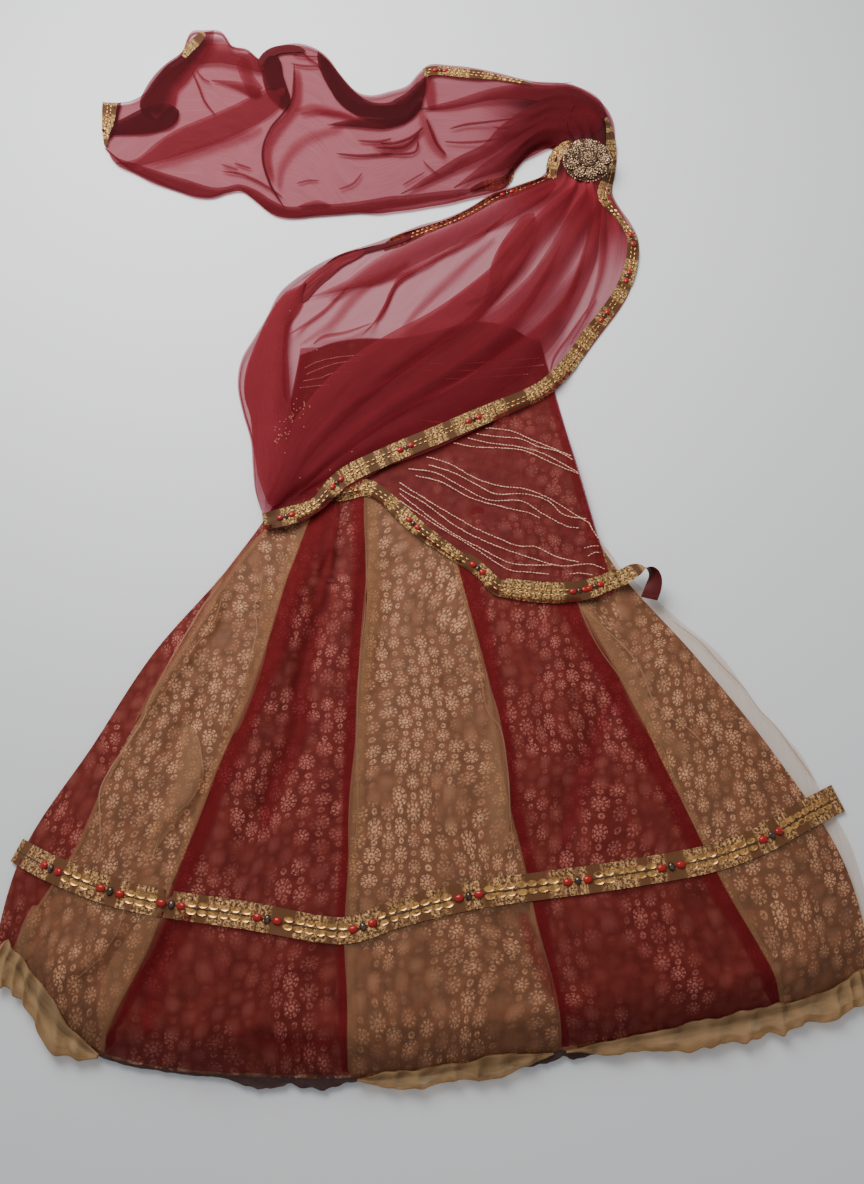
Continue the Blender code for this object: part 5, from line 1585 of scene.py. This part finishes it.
# Its two ribbons, and the ribbon at the tail's end. Those marked as under lie below the chiffon and are
# seen through it; the others lie on it. Their sizes are the cut width and length in metres.
DrapeRibbon = namedtuple("DrapeRibbon", "name nodes under width cut path")
DRAPE_RIBBONS = (
    DrapeRibbon("lower_ribbon", ["hip_trim_lower"], False, 0.018, 0.72, (
        (264, 522, 17), (288, 516, 18), (306, 511, 17), (319, 503, 15), (332, 488, 17), (349, 474, 18),
        (378, 460, 18), (410, 446, 18), (440, 434, 18), (470, 421, 18), (500, 409, 18), (525, 399, 18),
        (545, 388, 17), (562, 372, 16), (576, 355, 15), (588, 337, 15), (600, 322, 14), (612, 306, 14),
        (622, 290, 14), (630, 270, 13), (633, 250, 12), (631, 236, 9), (622, 222, 6), (612, 208, 6))),
    DrapeRibbon("shoulder_ribbon_right", ["gather_trim_right"], False, 0.018, 0.145, (
        (617, 216, 5), (609, 206, 9), (604, 197, 12), (605, 188, 13), (609, 176, 11), (611, 160, 11),
        (611, 145, 10), (609, 128, 6), (606, 118, 3))),
    DrapeRibbon("shoulder_ribbon_left", ["gather_trim_left"], False, 0.017, 0.065, (
        (552, 178, 9), (552, 168, 12), (556, 156, 12), (564, 147, 9), (572, 142, 5))),
    DrapeRibbon("upper_ribbon", ["hip_trim_upper"], True, 0.012, 0.21, (
        (550, 176, 5), (530, 184, 6), (510, 192, 7), (494, 197, 8), (476, 208, 7), (452, 220, 6),
        (430, 228, 7), (412, 235, 10), (396, 241, 11), (383, 248, 5))),
    DrapeRibbon("tail_ribbon_top", ["tail_trim_top"], False, 0.013, 0.145, (
        (424, 73, 9), (432, 71, 9), (444, 71, 9), (462, 73, 9), (482, 75, 8), (500, 78, 5), (530, 84, 2))),
    DrapeRibbon("tail_ribbon_bottom", ["tail_trim_bottom"], True, 0.013, 0.06, (
        (470, 190, 4), (484, 185, 9), (498, 183, 11), (508, 178, 9), (512, 168, 5))),
    DrapeRibbon("tail_ribbon_end", ["tail_trim_end"], False, 0.015, 0.07, (
        (110, 103, 15), (109, 113, 14), (108, 123, 12), (106, 134, 7), (106, 146, 3))),
    DrapeRibbon("tail_ribbon_corner", [], False, 0.016, 0.038, (
        (204, 33, 5), (198, 40, 9), (190, 48, 9), (184, 57, 5))),
    DrapeRibbon("tail_ribbon_rolled", [], True, 0.014, 0.19, (
        (323, 58, 6), (331, 78, 9), (338, 93, 10), (345, 100, 10), (357, 107, 10), (373, 110, 10),
        (390, 110, 10), (407, 107, 9), (420, 92, 6))),
)
drape_layers = surface_of(drape)
ribbon_runs = {"top_ribbon": top_run}
for ribbon in DRAPE_RIBBONS:
    surface = drape_cloth if ribbon.under else drape_layers
    lift = -0.6 if ribbon.under else 0.5
    piece, run = sew_on(ribbon.name, fine_ribbon, ribbon.nodes, surface, ribbon.path, lift, 4)
    ribbon_runs[ribbon.name] = run

# Dashes of gold thread in two rows down their middle, and beads in threes
DASH_PITCH = 6.4
DASH_ASIDE = 2.3
CLEAR_OF_BEADS = 11.0
FINE_BEAD_SPACE = 6.5
# A row of dashes: its ribbon, where it starts and stops along it, and where its beads sit
Row = namedtuple("Row", "run start stop groups")
DASH_ROWS = (
    Row("lower_ribbon", 30, 660, (24, 92, 178, 262, 480, 545, 600)), Row("shoulder_ribbon_right", 2, 100, ()),
    Row("shoulder_ribbon_left", 2, 60, ()), Row("upper_ribbon", 2, 200, (60,)),
    Row("tail_ribbon_top", 8, 130, (22,)), Row("tail_ribbon_end", 4, 60, ()),
    Row("top_ribbon", 4, 400, (120, 205, 318, 336)),
)
for dash_row in DASH_ROWS:
    run = ribbon_runs[dash_row.run]
    length = dash_row.start
    while length < min(dash_row.stop, run[-1][2] - 2.0):
        if all(abs(length - group) > CLEAR_OF_BEADS for group in dash_row.groups):
            for aside in (-DASH_ASIDE, DASH_ASIDE):
                sew("gold_dashes", run, length + aside * 0.5, aside)
        length += DASH_PITCH
    for group in dash_row.groups:
        sew("red_beads", run, group - FINE_BEAD_SPACE, scale=0.9)
        sew("dark_beads", run, group)
        sew("red_beads", run, group + FINE_BEAD_SPACE, scale=0.9)

# Seed beads sewn on the chiffon: a loose cluster at the left hip, and a few spangles apart
BEAD_CLUSTER = ((304, 404, 6), (297, 411, 8), (291, 419, 9), (285, 427, 9), (280, 435, 7), (276, 441, 5))
CLUSTER_BEADS = 46
SPANGLES = ((290, 311), (317, 350), (304, 427), (285, 453), (330, 470), (352, 452), (300, 478))
seed_spots = []
for index in range(CLUSTER_BEADS):
    middle_x, middle_y, spread = BEAD_CLUSTER[index % len(BEAD_CLUSTER)]
    aside = spread * lumps(index * 7.3, 1.0, 3.0, 81.0)
    seed_spots.append((middle_x + aside, middle_y + spread * lumps(index * 5.1, 4.0, 3.0, 82.0)))
for across, down in (*seed_spots, *SPANGLES):
    spot = seen_on(drape_layers, across, down)
    set_down(sewn["seed_beads"], bead_shape, spot, Vector((1.0, 0.0, 0.0)), Vector((0.0, 1.0, 0.0)),
             sizes["seed_beads"])

# All that is sewn on the ribbons and the chiffon, with one piece for each kind
GLINT = 4.0
for finding in FINDINGS:
    finish = Finish(finding.name)
    colour = finding.colour
    # Painted reflection: metal findings darken in random patches, for glints that come and go
    if finding.metal > 0.5:
        chance = finish.ramp(finish.noise(finish.here(), GLINT * MM, 1.0), 0.42, 0.6)
        colour = finish.mix(chance, shaded(colour, 0.55), colour)
    finish.principled(Base_Color=colour, Roughness=finding.rough, Metallic=finding.metal)
    piece = put_on(made_from(sewn[finding.name], finding.name), finish.material)
    if finding.name != "gold_sequins":
        piece.data.shade_smooth()

# Brooch
# A round brooch of clear stones set in antique gold: nine scalloped clusters round a swirled rosette and
# a centre cluster. Its pin holds the gathered drape at the shoulder.
BROOCH_X = 192.0
BROOCH_Y = 562.0
BROOCH_TILT = math.radians(8.0)
BROOCH_SEAT = CLOTH + GATHER_HEIGHT + 0.9 * GATHER_PLEAT + GAP
BROOCH_RADIUS = 30.0
PETALS = 9
PETAL_RING = 20.7
PLATE_DEPTH = 2.0
PLATE_TOP = PLATE_DEPTH + GAP
brooch_spot = place(BROOCH_X, BROOCH_Y, BROOCH_SEAT)
brooch_place = Matrix.Translation(brooch_spot) @ Matrix.Rotation(BROOCH_TILT, 4, "X")
antique_gold = Finish("antique_gold")
tarnish = antique_gold.node("ShaderNodeTexNoise", Vector=antique_gold.here(), Scale=420.0,
                            Detail=3.0).outputs[0]
tarnished = antique_gold.mix(tarnish, (0.014, 0.006, 0.003), (0.14, 0.062, 0.028))
antique_gold.principled(Base_Color=tarnished, Roughness=0.4, Metallic=0.5)
clear_stones = Finish("clear_stones")
# Painted sparkle: the clear stones take random bright and near-black specks for the light their facets throw
fire = clear_stones.node("ShaderNodeTexNoise", Vector=clear_stones.here(), Scale=520.0, Detail=2.0).outputs[0]
sparkle = clear_stones.mix(clear_stones.ramp(fire, 0.47, 0.55), (0.085, 0.036, 0.020), (1.0, 0.68, 0.41))
clear_stones.principled(Base_Color=sparkle, Roughness=0.14, Metallic=0.3)


def petal_place(index):
    angle = 2.0 * math.pi * index / PETALS
    return Vector((PETAL_RING * math.cos(angle), PETAL_RING * math.sin(angle), PLATE_TOP))


def on_brooch(piece, name, material, nodes=()):
    """Sets a shaped piece, made in millimetres, on the brooch's tilted seat."""
    piece.data.transform(brooch_place @ Matrix.Scale(MM, 4) @ piece.matrix_basis)
    piece.matrix_basis = Matrix()
    piece.name = name
    piece.data.name = name
    put_on(piece, material, nodes)


def scalloped_plate(radius, depth, lobes, corners, draw_in):
    """A disc whose rim is drawn in between its lobes, with its edges broken."""
    plate = add_alone(bpy.ops.mesh.primitive_cylinder_add, vertices=lobes * corners, radius=radius,
                      depth=depth)
    for step in range(1, corners // 2 + 1):
        def in_step(vert, step=step):
            corner_at = round(math.atan2(vert.co.y, vert.co.x) / (2.0 * math.pi) * lobes * corners) % corners
            return min(corner_at, corners - corner_at) == step
        share = 1.0 - draw_in * (1.0 - math.cos(math.pi * step / corners)) / radius
        select_where(plate, in_step)
        bpy.ops.transform.resize(value=(share, share, 1.0), center_override=(0.0, 0.0, 0.0))
        bpy.ops.object.mode_set(mode="OBJECT")
    rim = plate.modifiers.new("broken_edge", "BEVEL")
    rim.width = 0.3
    rim.segments = 2
    bpy.ops.object.modifier_apply(modifier="broken_edge")
    return plate


def dome(radius, height):
    """Half a flattened ball with a closed floor."""
    ball = add_alone(bpy.ops.mesh.primitive_uv_sphere_add, segments=20, ring_count=10, radius=radius)
    bpy.ops.object.mode_set(mode="EDIT")
    bpy.ops.mesh.select_all(action="SELECT")
    bpy.ops.mesh.bisect(plane_co=(0.0, 0.0, 0.0), plane_no=(0.0, 0.0, 1.0), use_fill=True, clear_inner=True)
    bpy.ops.mesh.select_all(action="SELECT")
    bpy.ops.transform.resize(value=(1.0, 1.0, height / radius), center_override=(0.0, 0.0, 0.0))
    bpy.ops.object.mode_set(mode="OBJECT")
    return ball


# A stone: its round girdle, then the crown drawn up and in to the flat table
girdle = add_alone(bpy.ops.mesh.primitive_cylinder_add, vertices=8, radius=1.0, depth=0.3)
select_where(girdle, lambda face: face.normal.z > 0.9, "FACE")
bpy.ops.mesh.extrude_region_move(TRANSFORM_OT_translate={"value": (0.0, 0.0, 0.45)})
bpy.ops.transform.resize(value=(0.56, 0.56, 1.0), center_override=(0.0, 0.0, 0.0))
stone_shape = shape_from(girdle)


def stone(bm, spot, radius, tilt_seed):
    """Sets one more stone, leaning a little its own way."""
    first = len(bm.verts)
    bm.from_mesh(stone_shape)
    bm.verts.ensure_lookup_table()
    tip = Matrix.Rotation(0.5 * noise.noise(spot * 0.7 + Vector((tilt_seed, 0, 0))), 3, "X")
    lean = Matrix.Rotation(0.5 * noise.noise(spot * 0.9 + Vector((0, tilt_seed, 4))), 3, "Y")
    for vert in bm.verts[first:]:
        vert.co = spot + tip @ lean @ (vert.co * radius)


def set_stones(bm, name):
    on_brooch(made_from(bm, name), name, clear_stones.material)


def turned(count, radius, start=0.0):
    """Places evenly round a circle."""
    angles = [start + 2.0 * math.pi * step / count for step in range(count)]
    return [(radius * math.cos(angle), radius * math.sin(angle)) for angle in angles]


plate = scalloped_plate(BROOCH_RADIUS, PLATE_DEPTH, PETALS, 8, 2.6)
plate.location = (0.0, 0.0, 0.5 * PLATE_DEPTH)
on_brooch(plate, "brooch_back_plate", antique_gold.material, ["brooch_plate"])
CUP_RADIUS = 6.9
CUP_HEIGHT = 3.4
cup = dome(CUP_RADIUS, CUP_HEIGHT)
for index in range(PETALS):
    petal = cup.copy()
    petal.data = cup.data.copy()
    petal.location = petal_place(index)
    bpy.context.scene.collection.objects.link(petal)
    on_brooch(petal, f"petal_cup_{index + 1}", antique_gold.material,
              [f"brooch_petal_{index + 1}"])
bpy.data.objects.remove(cup)

# Rings of stones on each petal: how many, how far out, how high, and their radius
PETAL_STONES = ((1, 0.0, 3.9, 1.5), (6, 2.4, 3.6, 1.1), (10, 4.5, 3.0, 1.15), (14, 6.6, 1.8, 1.2))
RIM_STONES = 56
bm = bmesh.new()
for index in range(PETALS):
    centre = petal_place(index)
    start = 2.0 * math.pi * index / PETALS
    for count, reach, up, radius in PETAL_STONES:
        for x, y in turned(count, reach, start + 0.3 * count):
            stone(bm, centre + Vector((x, y, up)), radius, index)
for x, y in turned(RIM_STONES, BROOCH_RADIUS - 0.6):
    stone(bm, Vector((x, y, 1.6 + 0.8 * noise.noise(Vector((x, y, 0.0))))), 1.15, 5.0)
set_stones(bm, "petal_stones")

ROSETTE_RADIUS = 12.3
ROSETTE_LOBES = 7
ROSETTE_DEPTH = 4.2
ROSETTE_ARMS = 9
ARM_STONES = 8
ROSETTE_RIM_STONES = 34
rosette = scalloped_plate(ROSETTE_RADIUS, ROSETTE_DEPTH, ROSETTE_LOBES, 12, 1.2)
rosette.location = (0.0, 0.0, PLATE_TOP + 0.5 * ROSETTE_DEPTH)
on_brooch(rosette, "rosette_plate", antique_gold.material, ["brooch_rosette"])
bm = bmesh.new()
for index in range(ROSETTE_ARMS):
    start = 2.0 * math.pi * index / ROSETTE_ARMS
    for step in range(ARM_STONES):
        angle = start + 0.22 * step
        reach = 4.6 + 1.15 * step
        stone(bm, Vector((reach * math.cos(angle), reach * math.sin(angle), 7.0 - 0.22 * step)), 0.98, index)
for x, y in turned(ROSETTE_RIM_STONES, ROSETTE_RADIUS + 1.3):
    stone(bm, Vector((x, y, 5.2)), 1.0, 3.0)
set_stones(bm, "rosette_stones")

BOSS_RADIUS = 5.2
BOSS_HEIGHT = 2.6
boss = dome(BOSS_RADIUS, BOSS_HEIGHT)
boss.location = (0.0, 0.0, PLATE_TOP + ROSETTE_DEPTH + GAP)
on_brooch(boss, "boss_dome", antique_gold.material, ["brooch_boss"])
bm = bmesh.new()
for count, reach, up in ((1, 0.0, 9.4), (6, 2.0, 9.2), (11, 3.9, 8.4)):
    for x, y in turned(count, reach):
        stone(bm, Vector((x, y, up)), 1.0, 1.0)
set_stones(bm, "boss_stones")
